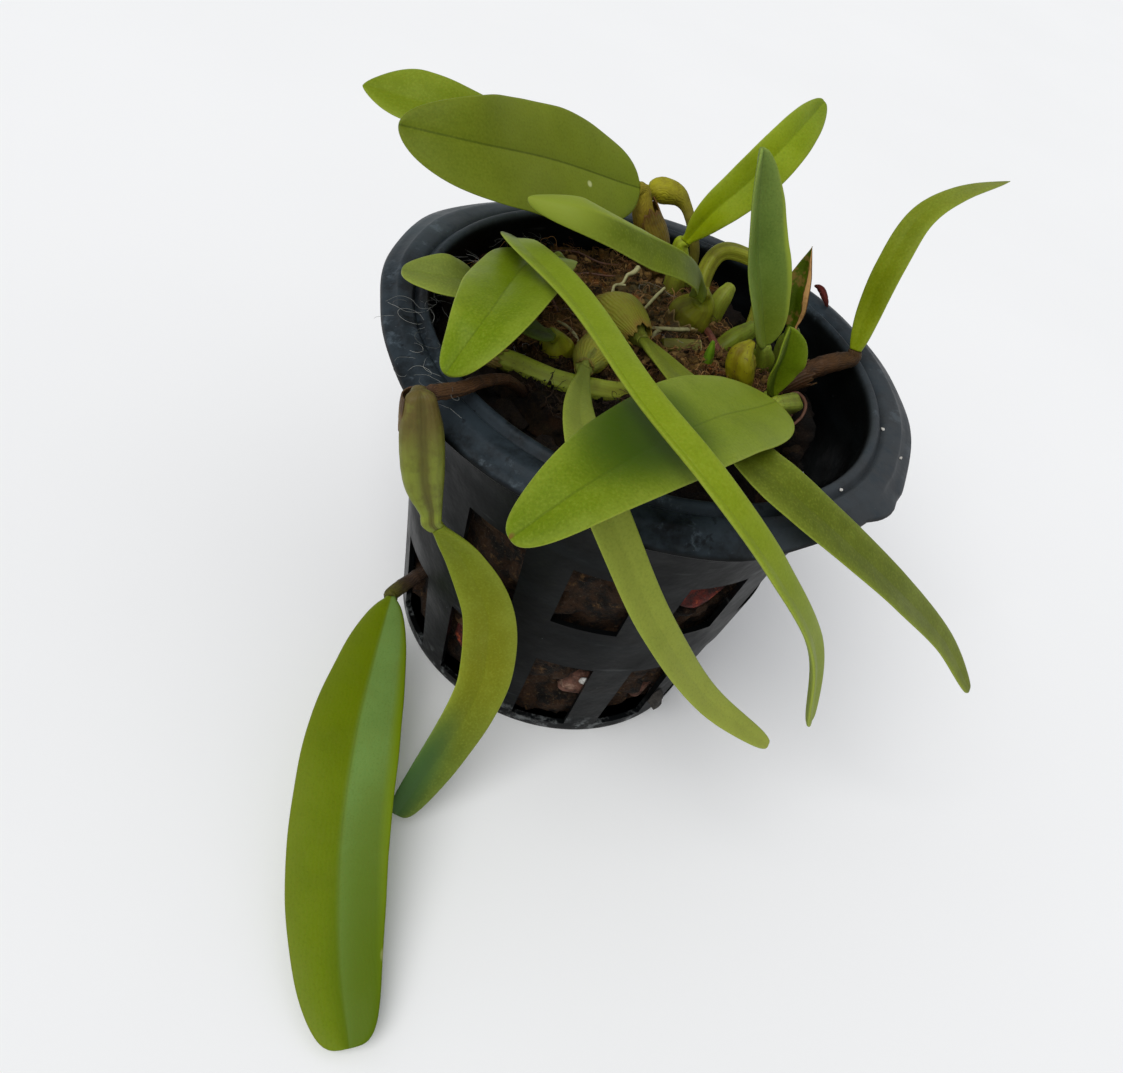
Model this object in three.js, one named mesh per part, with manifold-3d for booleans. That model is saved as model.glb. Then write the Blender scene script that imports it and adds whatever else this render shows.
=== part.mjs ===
// A potted bulbophyllum: a plastic net pot filled with bark, with a coir lump on top, and a creeping
// orchid that has spread over the rim and out of a side window.
// Millimetres, +Z up. The origin is the middle of the pot's foot, and the front looks towards -Y.

import * as THREE from 'three';
import { mergeVertices } from 'three/addons/utils/BufferGeometryUtils.js';
import Module from 'manifold-3d';

const wasm = await Module();
wasm.setup();

// Driving sizes of the pot
const potHeight = 114;
const footRadius = 50.6;
const shoulderRadius = 64.2;
const mouthRadius = 61.6;
const flangeRadius = 75.3;
const wallThickness = 1.7;
const floorThickness = 2.6;
const footRingWidth = 5.4;
const footRingHeight = 1.2;
const footPadRadius = 9;
const windowCount = 12;
const windowTurn = 18.5;
const firstWindow = -78.75;
const windowRows = [{ low: 4, high: 37 }, { low: 56, high: 80 }];
const windowCutDepth = 16;
const drainSlots = { count: 8, middle: 29, length: 22, width: 5 };
const potSides = 60;

// The flange is bent: [middle angle, half width of the bend, push outwards] in degrees and mm
const flangeBends = [
  [86, 26, 3.8], [160, 20, 1.8], [-152, 16, -1.6], [-38, 20, -2.0], [-22, 8, 2.3], [45, 16, 1.4],
];

// Driving sizes of the filling
const barkTop = 97;
const barkGap = 0.6;
const barkChips = { onTop: 20, onSide: 26, length: [9, 16], width: [8, 15], height: [5, 9], tilt: 0.5 };
const coirRadius = 43;
const coirTop = 105.6;
const emptySide = { angle: -18, halfWidth: 46, depth: 17 };
const seat = 0.35;

// Sizes shared by all leaves and bulbs
const leafStations = [0, 0.06, 0.12, 0.22, 0.34, 0.46, 0.58, 0.69, 0.79, 0.88, 0.95, 1];
const tipShare = 0.22;
const leafMiddle = 1.5;
const leafEdge = 0.8;
const stalkThickness = 2.6;
const leafGroove = 0.3;
const bulbSides = 8;
const bulbRidge = 0.08;
const bulbNeck = 2.4;
const bulbTip = 1.8;

// Each leaf grows from the tip of its own bulb or stem. bulb rows are x, y, z, radius, from the root
// up, and path is the midrib from the stalk to the tip. face is where the upper side looks, at the
// stalk and at the tip, fold is the angle of each half, widest, base and tip shape the outline, and
// lean makes one half that much wider and the other that much narrower.
const growths = [
  {
    name: 'back_left',
    bulb: [[3, 49, 94, 1.6], [2, 51.5, 104, 1.6], [1, 54, 113, 1.5], [-3, 57, 120, 1.5],
      [-7, 59.5, 124, 1.8], [-11, 60, 126, 3.2], [-16, 59, 126, 3.8]],
    path: [[-21, 57, 125], [-45, 35, 134.5], [-70.5, 17, 142.5], [-96, 14, 142]],
    face: [0.1, -0.5, 0.9], width: 16.6, widest: 0.84, base: 1, tip: 0.45, fold: 10, lean: 0.12,
  },
  {
    name: 'back_large',
    bulb: [[-7, 51, 103, 2.8], [-13, 51, 114, 4], [-18, 49, 122, 3.3]],
    path: [[-22, 47, 129], [-42, 22, 139], [-58, -3, 147], [-76, -12, 148]],
    face: [0.1, -0.75, 0.65], width: 30.5, widest: 0.47, base: 0.36, tip: 0.5, fold: 5, lean: -0.07,
  },
  {
    name: 'arched',
    bulb: [[4, 22, 103, 3.4], [6, 26, 108, 6], [8, 27.5, 113, 4.2]],
    path: [[7, 25, 118], [1, 15, 130], [-11, -3, 140.5], [-25, -18, 148.5], [-40, -20, 147]],
    face: [-0.25, -0.55, 0.8], width: 18, widest: 0.25, base: 0.6, tip: 0.5, fold: -25,
  },
  {
    name: 'right_back',
    bulb: [[-1, 44, 103, 3.2], [-2, 45, 112, 3]],
    path: [[-3, 45, 121], [1, 44, 132], [7, 48, 142], [13, 54, 154], [19, 77, 161]],
    face: [0.2, -0.9, 0.5], width: 13.4, widest: 0.45, base: 0.55, tip: 0.45, fold: 15, lean: 0.07,
  },
  {
    name: 'upright',
    bulb: [[31, 21, 103, 2.8], [30, 19, 109, 3.2]],
    path: [[28, 16, 115], [22, 13, 128], [15, 11, 142], [10, 9, 155], [6, 6, 168]],
    face: [0.8, -0.6, 0], width: 18, widest: 0.4, base: 0.36, tip: 0.52, fold: 38,
  },
  {
    name: 'brown_edge',
    bulb: [[37, 31, 101, 2.6], [36, 30, 110, 3]],
    path: [[35, 29, 116], [32, 30, 125], [31, 32, 132], [30, 32, 139]],
    face: [-0.3, -0.9, 0.2], width: 9, widest: 0.35, base: 0.6, tip: 1.1, fold: 25,
  },
  {
    name: 'far_right',
    bulb: [[36, 15, 103, 2.4], [41, 17, 109, 2.6], [47, 20, 114, 2.7]],
    path: [[53, 25, 119], [51.5, 28, 129], [50.5, 29.5, 143], [52.5, 36, 155], [60, 44, 162],
      [73, 56, 166]],
    face: [-0.5, -0.8, 0.2], faceTip: [-0.4, -0.4, 0.8],
    width: 8.6, widest: 0.35, base: 0.3, tip: 0.8, fold: 8, lean: 0.15,
  },
  {
    name: 'boat',
    bulb: [[35, 8.5, 99, 2.2], [35.2, 6.5, 103, 2.4]],
    path: [[34.6, 3.5, 108.8], [32.9, 2, 116.3], [32.2, 0.5, 123.5], [30.4, -1, 131.6]],
    face: [0.6, -0.7, 0.3], width: 14, widest: 0.5, base: 0.6, tip: 0.6, fold: 35,
  },
  {
    name: 'rim_left',
    bulb: [[-38, -4, 102, 2.6], [-41, -5, 108, 2.6]],
    path: [[-43, -7, 112], [-52, -21, 120], [-65, -25, 119]],
    face: [0.1, -0.2, 1], width: 14.6, widest: 0.6, base: 0.7, tip: 0.5, fold: 12,
  },
  {
    name: 'left_broad',
    bulb: [[-32, 25, 101.5, 2.8], [-33, 24, 107, 2.8]],
    path: [[-35, 20, 112.6], [-38, -6, 123], [-37, -45, 130], [-40.5, -58, 119.5]],
    face: [-0.2, -0.3, 1], width: 24.5, widest: 0.5, base: 0.45, tip: 0.45, fold: 10, lean: -0.1,
  },
  {
    name: 'long_strap',
    bulb: [[-36, 33, 99, 2.6], [-41, 31, 104, 2.6]],
    path: [[-44, 27, 108], [-45.5, 9, 119.5], [-40, -12, 130.3], [-20.5, -41, 138.6], [0.8, -75, 144.6],
      [18.8, -88, 141.6], [38, -88, 127.4], [56.6, -79.3, 104], [68.8, -72.4, 75]],
    face: [0, -0.1, 1], faceTip: [0.15, -0.3, 0.9],
    width: 12.4, widest: 0.3, base: 0.6, tip: 0.36, fold: 23,
  },
  {
    name: 'front_broad',
    bulb: [[41, 12, 101, 2.4], [41.2, 4.6, 107.5, 2.9]],
    path: [[34.5, -11, 114.5], [27, -31, 123], [18.5, -51, 130.5], [7, -79, 137.5], [-2, -98, 138],
      [-10.8, -108.5, 129]],
    face: [0, -0.2, 1], width: 26.2, widest: 0.32, base: 0.36, tip: 0.4, fold: 5, lean: 0.04,
  },
  {
    name: 'front_hanging',
    bulb: [[-15, 0, 102, 2.8], [-14, -12, 108.5, 4.2]],
    path: [[-14, -25, 112], [-10, -54, 121], [-2, -75, 124], [8, -80, 114], [24, -78, 92],
      [45, -70, 66], [69, -60, 46]],
    face: [0.2, -0.6, 0.8], width: 10, widest: 0.4, base: 0.6, tip: 0.45, fold: 18, lean: 0.08,
  },
  {
    name: 'right_hanging',
    bulb: [[-14, 20, 103, 3], [-9, 8, 109, 4.8]],
    path: [[-3, 0, 111], [12, -24, 118], [31, -48, 122], [44, -52, 119], [61, -49, 110], [79, -43, 98],
      [99, -36, 83], [114, -36, 70]],
    face: [0.3, -0.3, 1], width: 14, widest: 0.36, base: 0.5, tip: 0.5, fold: 15,
  },
  {
    name: 'outside_bent',
    bulb: [[-42, -71, 121.5, 3.4], [-40.3, -71, 113, 4.7], [-37, -71.5, 101, 5], [-33, -71, 91, 2.8]],
    path: [[-31.5, -71, 87], [-23, -67, 75], [-14, -66, 59], [-9.8, -68, 41], [-9.4, -74, 32],
      [-11.6, -83, 22], [-17, -99, 7]],
    face: [-0.1, -0.9, 0.4], faceTip: [0.6, -0.6, 0.5],
    width: 14.2, widest: 0.42, base: 0.5, tip: 0.45, fold: 10, lean: -0.08,
  },
  {
    name: 'outside_large',
    bulb: [[-36, -24, 26, 2], [-41, -31, 23, 2.1]],
    path: [[-45, -41, 20], [-40, -66, 22], [-34, -92, 22], [-25.3, -118, 15], [-14.5, -140, 8],
      [-4, -156, 3.4]],
    face: [-0.1, -0.2, 1], width: 26, widest: 0.55, base: 0.5, tip: 0.26, fold: 10, lean: 0.04,
  },
  {
    name: 'small_dark',
    bulb: [[-20, -9, 102, 3.2], [-24, -12, 107, 4.4]],
    path: [[-26, -16, 112], [-29, -23, 116], [-33, -27, 118]],
    face: [0, -0.4, 1], width: 8, widest: 0.5, base: 0.6, tip: 0.6, fold: 15,
  },
];

// Bulbs, stems and dry pieces that carry no leaf, as x, y, z, radius
const stems = [
  {
    name: 'stem_pale_arch',
    colour: 0x9aa556,
    rows: [[8, 38, 102, 2.2], [6, 46, 113, 2.4], [8, 50, 119, 2.4], [14, 52, 120, 2.3],
      [21, 52, 118, 2.1], [25, 49, 108, 2], [26, 46, 100, 2]],
  },
  {
    name: 'stub_pale',
    colour: 0x9caa5a,
    rows: [[13, 33, 102, 2], [13, 36, 110, 2.8], [14, 38, 116, 2.3]],
  },
  {
    name: 'bulb_yellow_sheath',
    colour: 0x8f8a1e,
    rows: [[26, 8, 102, 2], [25, 7.5, 111, 4.2], [24, 7, 119, 1.8]],
  },
  {
    name: 'bulb_long_green',
    colour: 0x7e8f3c,
    rows: [[-39, -26, 106.5, 2.2], [-32, -25, 106, 3], [-20, -25, 106, 2.9], [-9, -22, 106, 3],
      [-3, -17, 105, 2.6]],
  },
  {
    name: 'bulb_behind_upright',
    colour: 0x7d8a24,
    rows: [[17, 20, 104, 2.4], [21, 24, 108, 3.3], [25, 28, 112, 2.2]],
  },
  {
    name: 'shoot_young',
    colour: 0x6f9a2c,
    rows: [[16, 11.5, 102, 1.5], [15, 10.5, 112, 1.1]],
  },
  {
    name: 'stub_cut',
    colour: 0xa6a468,
    rows: [[2, 12, 105, 1.9], [12, 17, 105.5, 2.1]],
  },
  {
    name: 'stem_over_rim',
    colour: 0x6b4a2e,
    rows: [[-41, -66, 119.6, 1.9], [-37, -58, 117.2, 1.8], [-34, -52, 116.6, 1.6],
      [-30, -41, 112, 1.4], [-26, -31, 103, 1.4]],
  },
  {
    name: 'bud_dried',
    colour: 0x6d1f1c,
    rows: [[39.5, 56, 115.2, 1], [42, 56.5, 115.2, 1.9], [44.5, 56.5, 115.1, 0.8]],
  },
];

// Loose chips just inside the windows: middle, size and turn about Z in degrees. Each one's -Y side
// looks out of its window.
const chips = [
  { name: 'chip_brick_right', colour: 0x7d2f25, at: [37, -37.4, 68], size: [17, 6, 9], turn: 45 },
  { name: 'chip_brick_left', colour: 0x6d3526, at: [-17.6, -42.3, 20], size: [13, 6, 14], turn: -22 },
  { name: 'chip_pale', colour: 0xa7927c, at: [15.5, -44, 22], size: [11, 6, 12], turn: 19 },
  { name: 'chip_pale_right', colour: 0x8f7f6c, at: [37, -26.2, 12], size: [12, 6, 12], turn: 55 },
];

const plasticBlack = new THREE.MeshStandardMaterial({ color: 0x2b3036, roughness: 0.55, metalness: 0 });
const barkBrown = new THREE.MeshStandardMaterial({ color: 0x2e221a, roughness: 0.95, metalness: 0 });
const coirBrown = new THREE.MeshStandardMaterial({ color: 0x5d3f27, roughness: 1, metalness: 0 });
const leafGreen = new THREE.MeshStandardMaterial({ color: 0x6f8b24, roughness: 0.5, metalness: 0 });
const bulbGreen = new THREE.MeshStandardMaterial({ color: 0x8a8c26, roughness: 0.5, metalness: 0 });

const radians = THREE.MathUtils.degToRad;

// A seeded draw, so the bark lies the same way every time
let drawState = 20617;
function draw(low, high) {
  drawState = (drawState * 48271) % 2147483647;
  return low + (high - low) * (drawState / 2147483647);
}

function closedGeometry(points, triangles) {
  const geometry = new THREE.BufferGeometry();
  geometry.setAttribute('position', new THREE.Float32BufferAttribute(points.flat(), 3));
  geometry.setIndex(triangles.flat());
  return geometry;
}

function toSolid(geometry) {
  const bare = geometry.clone();
  bare.deleteAttribute('normal');
  bare.deleteAttribute('uv');
  const merged = mergeVertices(bare, 1e-4);
  const mesh = new wasm.Mesh({
    numProp: 3,
    vertProperties: new Float32Array(merged.attributes.position.array),
    triVerts: new Uint32Array(merged.index.array),
  });
  return new wasm.Manifold(mesh);
}

function toGeometry(solid) {
  const mesh = solid.getMesh();
  const geometry = new THREE.BufferGeometry();
  geometry.setAttribute('position', new THREE.BufferAttribute(new Float32Array(mesh.vertProperties), 3));
  geometry.setIndex(new THREE.BufferAttribute(new Uint32Array(mesh.triVerts), 1));
  return geometry;
}

// Rings of equal length joined into a closed skin; capFaces gives the triangles that close one end
function skin(rings, capFaces) {
  const count = rings[0].length;
  const last = (rings.length - 1) * count;
  const triangles = [];
  for (let row = 0; row < rings.length - 1; row += 1) {
    for (let k = 0; k < count; k += 1) {
      const a = row * count + k;
      const b = row * count + (k + 1) % count;
      triangles.push([a, b, b + count], [a, b + count, a + count]);
    }
  }
  for (const [a, b, c] of capFaces) {
    triangles.push([a, c, b], [last + a, last + b, last + c]);
  }
  return closedGeometry(rings.flat(), triangles);
}

function curveThrough(points) {
  const vectors = points.map(([x, y, z]) => new THREE.Vector3(x, y, z));
  return new THREE.CatmullRomCurve3(vectors, false, 'catmullrom', 0.5);
}

// A ridged stem or bulb. grow makes it fatter and longer, which is how its seat is cut.
function stemGeometry(rows, grow = 0) {
  const curve = curveThrough(rows);
  const radii = curveThrough(rows.map((row) => [row[3], 0, 0]));
  const steps = Math.max(4, 2 * (rows.length - 1) + 2);
  const frames = curve.computeFrenetFrames(steps, false);
  const rings = [];
  for (let i = 0; i <= steps; i += 1) {
    const u = i / steps;
    const middle = curve.getPointAt(u);
    if (i === 0) middle.addScaledVector(frames.tangents[0], -grow);
    if (i === steps) middle.addScaledVector(frames.tangents[steps], grow);
    const radius = radii.getPoint(curve.getUtoTmapping(u)).x + grow;
    const ring = [];
    for (let k = 0; k < bulbSides; k += 1) {
      const angle = (2 * Math.PI * k) / bulbSides;
      const reach = radius * (1 + bulbRidge * Math.cos(4 * angle));
      const point = middle.clone()
        .addScaledVector(frames.normals[i], reach * Math.cos(angle))
        .addScaledVector(frames.binormals[i], reach * Math.sin(angle));
      ring.push(point.toArray());
    }
    rings.push(ring);
  }
  const cap = [];
  for (let k = 1; k < bulbSides - 1; k += 1) cap.push([0, k, k + 1]);
  return skin(rings, cap);
}

function leafWidth(leaf, t) {
  const rising = Math.sin((Math.PI / 2) * Math.min(t / leaf.widest, 1)) ** leaf.base;
  const along = Math.max(t - leaf.widest, 0) / (1 - leaf.widest);
  const falling = Math.max(Math.cos((Math.PI / 2) * along), 0) ** leaf.tip;
  const least = t < 0.5 ? 3.6 * (1 - t) : Math.max(2.2, leaf.width * tipShare);
  return Math.max(leaf.width * (t < leaf.widest ? rising : falling), least);
}

function leafGeometry(leaf) {
  const curve = curveThrough(leaf.path);
  const faceStart = new THREE.Vector3(...leaf.face).normalize();
  const faceEnd = new THREE.Vector3(...(leaf.faceTip ?? leaf.face)).normalize();
  const fold = radians(leaf.fold);
  const across = [-1, -0.5, 0, 0.5, 1];
  const rings = [];
  for (const t of leafStations) {
    const middle = curve.getPointAt(t);
    const forward = curve.getTangentAt(t);
    const face = faceStart.clone().lerp(faceEnd, t);
    const up = face.addScaledVector(forward, -face.dot(forward)).normalize();
    const side = forward.clone().cross(up);
    const half = leafWidth(leaf, t) / 2;
    const stalk = Math.max(0, 1 - t / 0.12);
    const crown = leafMiddle + (stalkThickness - leafMiddle) * stalk;
    const groove = leafGroove * (1 - stalk);
    const point = (s, sign) => {
      const reach = s * half * (1 + (leaf.lean ?? 0) * Math.sign(s));
      const thick = crown + (leafEdge - leafMiddle) * s * s * (1 - stalk);
      const lift = Math.abs(reach) * Math.sin(fold) + sign * thick / 2;
      const dip = s === 0 && sign > 0 ? groove : 0;
      return middle.clone()
        .addScaledVector(side, reach * Math.cos(fold))
        .addScaledVector(up, lift - dip)
        .toArray();
    };
    const upper = across.map((s) => point(s, 1));
    const under = across.map((s) => point(s, -1));
    rings.push([...upper, ...under.reverse()]);
  }
  const cap = [];
  for (let k = 0; k < across.length - 1; k += 1) {
    const opposite = 2 * across.length - 1 - k;
    cap.push([k, k + 1, opposite], [k + 1, opposite - 1, opposite]);
  }
  return skin(rings, cap);
}

// The bulb of a growth runs in line with its leaf's stalk to just short of it
function bulbRows(growth) {
  const curve = curveThrough(growth.path);
  const forward = curve.getTangentAt(0);
  const end = curve.getPointAt(0).addScaledVector(forward, -seat);
  const neck = end.clone().addScaledVector(forward, -bulbNeck);
  return [...growth.bulb, [...neck.toArray(), bulbTip + 0.4], [...end.toArray(), bulbTip]];
}

function flangePush(angle) {
  let push = 0;
  for (const [middle, halfWidth, amount] of flangeBends) {
    let away = angle - middle;
    if (away > 180) away -= 360;
    if (away < -180) away += 360;
    push += amount * Math.exp(-((away / halfWidth) ** 2));
  }
  return push;
}

// Inside radius of the pot's wall at a height
function wallInside(z) {
  return footRadius - wallThickness + ((shoulderRadius - footRadius) * z) / potHeight;
}

function potSolid() {
  const footInside = footRadius - footRingWidth;
  const outline = [
    [0, 0], [footPadRadius, 0], [footPadRadius + footRingHeight, footRingHeight],
    [footInside - footRingHeight, footRingHeight], [footInside, 0], [footRadius, 0],
    [wallInside(56) + wallThickness, 56], [wallInside(103) + wallThickness, 103],
    [shoulderRadius + 1.8, 107.6], [flangeRadius - 2, 107.9], [flangeRadius, 109],
    [flangeRadius - 0.4, 110.4], [flangeRadius - 3.9, 112], [flangeRadius - 4.5, 112.9],
    [shoulderRadius + 2.2, 113], [shoulderRadius + 1.2, 111.9], [shoulderRadius + 0.3, 113],
    [mouthRadius + 1.6, potHeight], [mouthRadius + 0.4, 113.3], [mouthRadius, 111.5],
    [wallInside(100), 100], [wallInside(floorThickness), floorThickness], [0, floorThickness],
  ];
  const lathe = new THREE.LatheGeometry(outline.map(([r, z]) => new THREE.Vector2(r, z)), potSides);
  lathe.rotateX(Math.PI / 2);
  const places = lathe.attributes.position;
  for (let i = 0; i < places.count; i += 1) {
    const x = places.getX(i);
    const y = places.getY(i);
    const r = Math.hypot(x, y);
    const share = THREE.MathUtils.smoothstep(r, shoulderRadius, flangeRadius);
    const scale = r > 1 ? 1 + (flangePush(THREE.MathUtils.radToDeg(Math.atan2(y, x))) * share) / r : 1;
    places.setXY(i, x * scale, y * scale);
  }
  let pot = toSolid(lathe);
  for (const row of windowRows) {
    const z = (row.low + row.high) / 2;
    const radius = wallInside(z);
    const width = 2 * radius * Math.tan(radians(windowTurn / 2));
    for (let k = 0; k < windowCount; k += 1) {
      const box = new THREE.BoxGeometry(windowCutDepth, width, row.high - row.low);
      box.translate(radius, 0, z);
      box.rotateZ(radians(firstWindow + (360 / windowCount) * k));
      pot = pot.subtract(toSolid(box));
    }
  }
  for (let k = 0; k < drainSlots.count; k += 1) {
    const slot = new THREE.BoxGeometry(drainSlots.length, drainSlots.width, 3 * floorThickness);
    slot.translate(drainSlots.middle, 0, floorThickness / 2);
    slot.rotateZ((2 * Math.PI * k) / drainSlots.count);
    pot = pot.subtract(toSolid(slot));
  }
  return pot;
}

// A lump on a polar grid: radiusAt(angle, share of the height) and topAt(x, y) give its shape
function lump(rings, sides, levels, bottom, radiusAt, topAt) {
  const rows = [];
  for (let level = 0; level <= levels; level += 1) {
    const row = [];
    for (let k = 0; k < sides; k += 1) {
      const angle = (2 * Math.PI * k) / sides;
      const share = level / levels;
      const radius = radiusAt(angle, share);
      const edgeTop = topAt(radius * Math.cos(angle), radius * Math.sin(angle));
      row.push([radius * Math.cos(angle), radius * Math.sin(angle), bottom + (edgeTop - bottom) * share]);
    }
    rows.push(row);
  }
  for (let ring = rings - 1; ring >= 1; ring -= 1) {
    const row = [];
    for (let k = 0; k < sides; k += 1) {
      const angle = (2 * Math.PI * k) / sides;
      const radius = (radiusAt(angle, 1) * ring) / rings;
      const x = radius * Math.cos(angle);
      const y = radius * Math.sin(angle);
      row.push([x, y, topAt(x, y)]);
    }
    rows.push(row);
  }
  const cap = [];
  for (let k = 1; k < sides - 1; k += 1) cap.push([0, k, k + 1]);
  return skin(rows, cap);
}

function emptyShare(x, y) {
  const angle = THREE.MathUtils.radToDeg(Math.atan2(y, x));
  const sideways = Math.max(0, 1 - Math.abs(angle - emptySide.angle) / emptySide.halfWidth);
  const outwards = THREE.MathUtils.smoothstep(Math.hypot(x, y), 37, 47);
  return THREE.MathUtils.smoothstep(sideways, 0, 0.45) * outwards;
}

function coirSolid(grow) {
  const edge = (angle) => coirRadius + 1.8 * Math.sin(3 * angle + 1) + 1.5 * Math.sin(7 * angle)
    - 6 * Math.max(0, Math.cos(angle - radians(emptySide.angle)));
  const radiusAt = (angle, share) => edge(angle) * (1 - 0.06 * share) + grow;
  const topAt = (x, y) => coirTop + 0.9 * Math.sin(x * 0.31 + 1) * Math.cos(y * 0.27)
    + 0.5 * Math.sin(x * 0.7 - y * 0.6) + grow;
  return toSolid(lump(6, 28, 2, barkTop + seat - grow, radiusAt, topAt));
}

function chipGeometry(size) {
  const box = new THREE.BoxGeometry(...size);
  box.deleteAttribute('normal');
  box.deleteAttribute('uv');
  const chip = mergeVertices(box);
  const places = chip.attributes.position;
  for (let i = 0; i < places.count; i += 1) {
    const [a, b, c] = [draw(0.75, 1), draw(0.75, 1), draw(0.75, 1)];
    places.setXYZ(i, places.getX(i) * a, places.getY(i) * b, places.getZ(i) * c);
  }
  return chip;
}

function barkSolid() {
  const radiusAt = (angle, share) => {
    const z = floorThickness + share * (barkTop - floorThickness);
    const wave = 1.3 * Math.sin(5 * angle + 7 * share) + 0.7 * Math.sin(11 * angle - 9 * share);
    return wallInside(z) - barkGap - 2.4 - wave;
  };
  const topAt = (x, y) => barkTop - emptySide.depth * emptyShare(x, y);
  let bark = toSolid(lump(6, 30, 6, floorThickness + seat, radiusAt, topAt));
  for (let k = 0; k < barkChips.onTop + barkChips.onSide; k += 1) {
    const onTop = k < barkChips.onTop;
    const angle = onTop ? (2 * Math.PI * k) / barkChips.onTop : draw(0, 2 * Math.PI);
    const z = onTop ? barkTop + 1.5 : draw(8, barkTop - 5);
    const radius = onTop ? draw(49, 53) : wallInside(z) - 2;
    const size = [draw(...barkChips.length), draw(...barkChips.width), draw(...barkChips.height)];
    const chip = chipGeometry(size);
    chip.rotateX(draw(-barkChips.tilt, barkChips.tilt));
    chip.rotateZ(angle + draw(-barkChips.tilt, barkChips.tilt));
    const x = radius * Math.cos(angle);
    const y = radius * Math.sin(angle);
    chip.translate(x, y, z - (onTop ? emptySide.depth * emptyShare(x, y) : 0));
    bark = bark.add(toSolid(chip));
  }
  const low = floorThickness + seat;
  const room = new THREE.LatheGeometry([
    new THREE.Vector2(0, low),
    new THREE.Vector2(wallInside(low) - barkGap, low),
    new THREE.Vector2(wallInside(coirTop) - barkGap, coirTop),
    new THREE.Vector2(0, coirTop),
  ], potSides);
  room.rotateX(Math.PI / 2);
  return bark.intersect(toSolid(room)).subtract(coirSolid(seat));
}

// What stands in the filling sits in a hole of its own shape
function seated(filling, geometries) {
  let solid = filling;
  for (const geometry of geometries) {
    solid = solid.subtract(toSolid(geometry));
  }
  const bodies = solid.decompose().sort((a, b) => b.volume() - a.volume());
  return toGeometry(bodies[0]);
}

const plant = new THREE.Group();

function place(name, geometry, material) {
  const mesh = new THREE.Mesh(geometry, material);
  mesh.name = name;
  plant.add(mesh);
}

function colouredLike(material, colour) {
  const tinted = material.clone();
  tinted.color.setHex(colour);
  return tinted;
}

const holes = [];

for (const growth of growths) {
  const rows = bulbRows(growth);
  place(`bulb_${growth.name}`, stemGeometry(rows), bulbGreen);
  place(`leaf_${growth.name}`, leafGeometry(growth), leafGreen);
  holes.push(stemGeometry(rows, seat));
}

for (const stem of stems) {
  place(stem.name, stemGeometry(stem.rows), colouredLike(bulbGreen, stem.colour));
  holes.push(stemGeometry(stem.rows, seat));
}

// A chip's hole opens outwards, so nothing hides the chip behind its window
for (const chip of chips) {
  const geometry = chipGeometry(chip.size);
  const inside = geometry.clone().scale(...chip.size.map((side) => 1 + (3 * seat) / side));
  const outside = inside.clone().translate(0, -chip.size[1], 0);
  const hole = toGeometry(wasm.Manifold.hull([toSolid(inside), toSolid(outside)]));
  for (const shape of [geometry, hole]) {
    shape.rotateZ(radians(chip.turn));
    shape.translate(...chip.at);
  }
  place(chip.name, geometry, colouredLike(barkBrown, chip.colour));
  holes.push(hole);
}

place('pot', toGeometry(potSolid()), plasticBlack);
place('bark', seated(barkSolid(), holes), barkBrown);
place('coir', seated(coirSolid(0), holes), coirBrown);

export default plant;
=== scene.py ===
import math

import bmesh
import bpy
import numpy as np
from mathutils import Matrix, Vector, noise


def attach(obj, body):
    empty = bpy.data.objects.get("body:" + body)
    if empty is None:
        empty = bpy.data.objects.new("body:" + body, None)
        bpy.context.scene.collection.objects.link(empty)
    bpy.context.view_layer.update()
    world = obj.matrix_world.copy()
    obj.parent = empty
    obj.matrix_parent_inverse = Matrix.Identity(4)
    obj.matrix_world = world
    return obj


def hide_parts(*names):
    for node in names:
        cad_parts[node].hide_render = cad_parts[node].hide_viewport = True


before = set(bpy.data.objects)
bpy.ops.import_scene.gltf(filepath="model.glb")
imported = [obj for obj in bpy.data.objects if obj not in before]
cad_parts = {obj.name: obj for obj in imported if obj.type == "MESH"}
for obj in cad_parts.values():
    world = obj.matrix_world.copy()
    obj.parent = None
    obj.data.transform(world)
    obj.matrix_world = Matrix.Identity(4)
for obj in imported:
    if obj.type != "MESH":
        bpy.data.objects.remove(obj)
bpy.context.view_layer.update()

# A potted bulbophyllum, a creeping orchid, in a black net pot of bark.
# The tables are in millimetres, +Z up, and meshes are made in metres.
mm = 0.001
seed = 4217
chance = np.random.default_rng(seed)
# without a seed the noise of the rough skins would differ on each run
noise.seed_set(seed)


def hexColour(text):
    parts = [int(text[i:i + 2], 16) / 255 for i in (1, 3, 5)]
    return [p / 12.92 if p <= 0.04045 else ((p + 0.055) / 1.055) ** 2.4 for p in parts] + [1.0]


def smooth(value, low, high):
    share = np.clip((np.asarray(value, float) - low) / (high - low), 0, 1)
    return share * share * (3 - 2 * share)


def unit(vectors):
    return vectors / np.maximum(np.linalg.norm(vectors, axis=-1, keepdims=True), 1e-9)


def curveAt(points, share):
    # Catmull-Rom through the points, with share from 0 to 1 over the spans
    p = np.array(points, float)
    p = np.vstack([2 * p[0] - p[1], p, 2 * p[-1] - p[-2]])
    spans = len(points) - 1
    s = np.clip(np.asarray(share, float) * spans, 0, spans - 1e-9)
    i = s.astype(int)
    w = (s - i)[:, None]
    a, b, c, d = p[i], p[i + 1], p[i + 2], p[i + 3]
    leave, arrive = (c - a) / 2, (d - b) / 2
    return ((2 * w ** 3 - 3 * w ** 2 + 1) * b + (w ** 3 - 2 * w ** 2 + w) * leave
            + (3 * w ** 2 - 2 * w ** 3) * c + (w ** 3 - w ** 2) * arrive)


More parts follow.
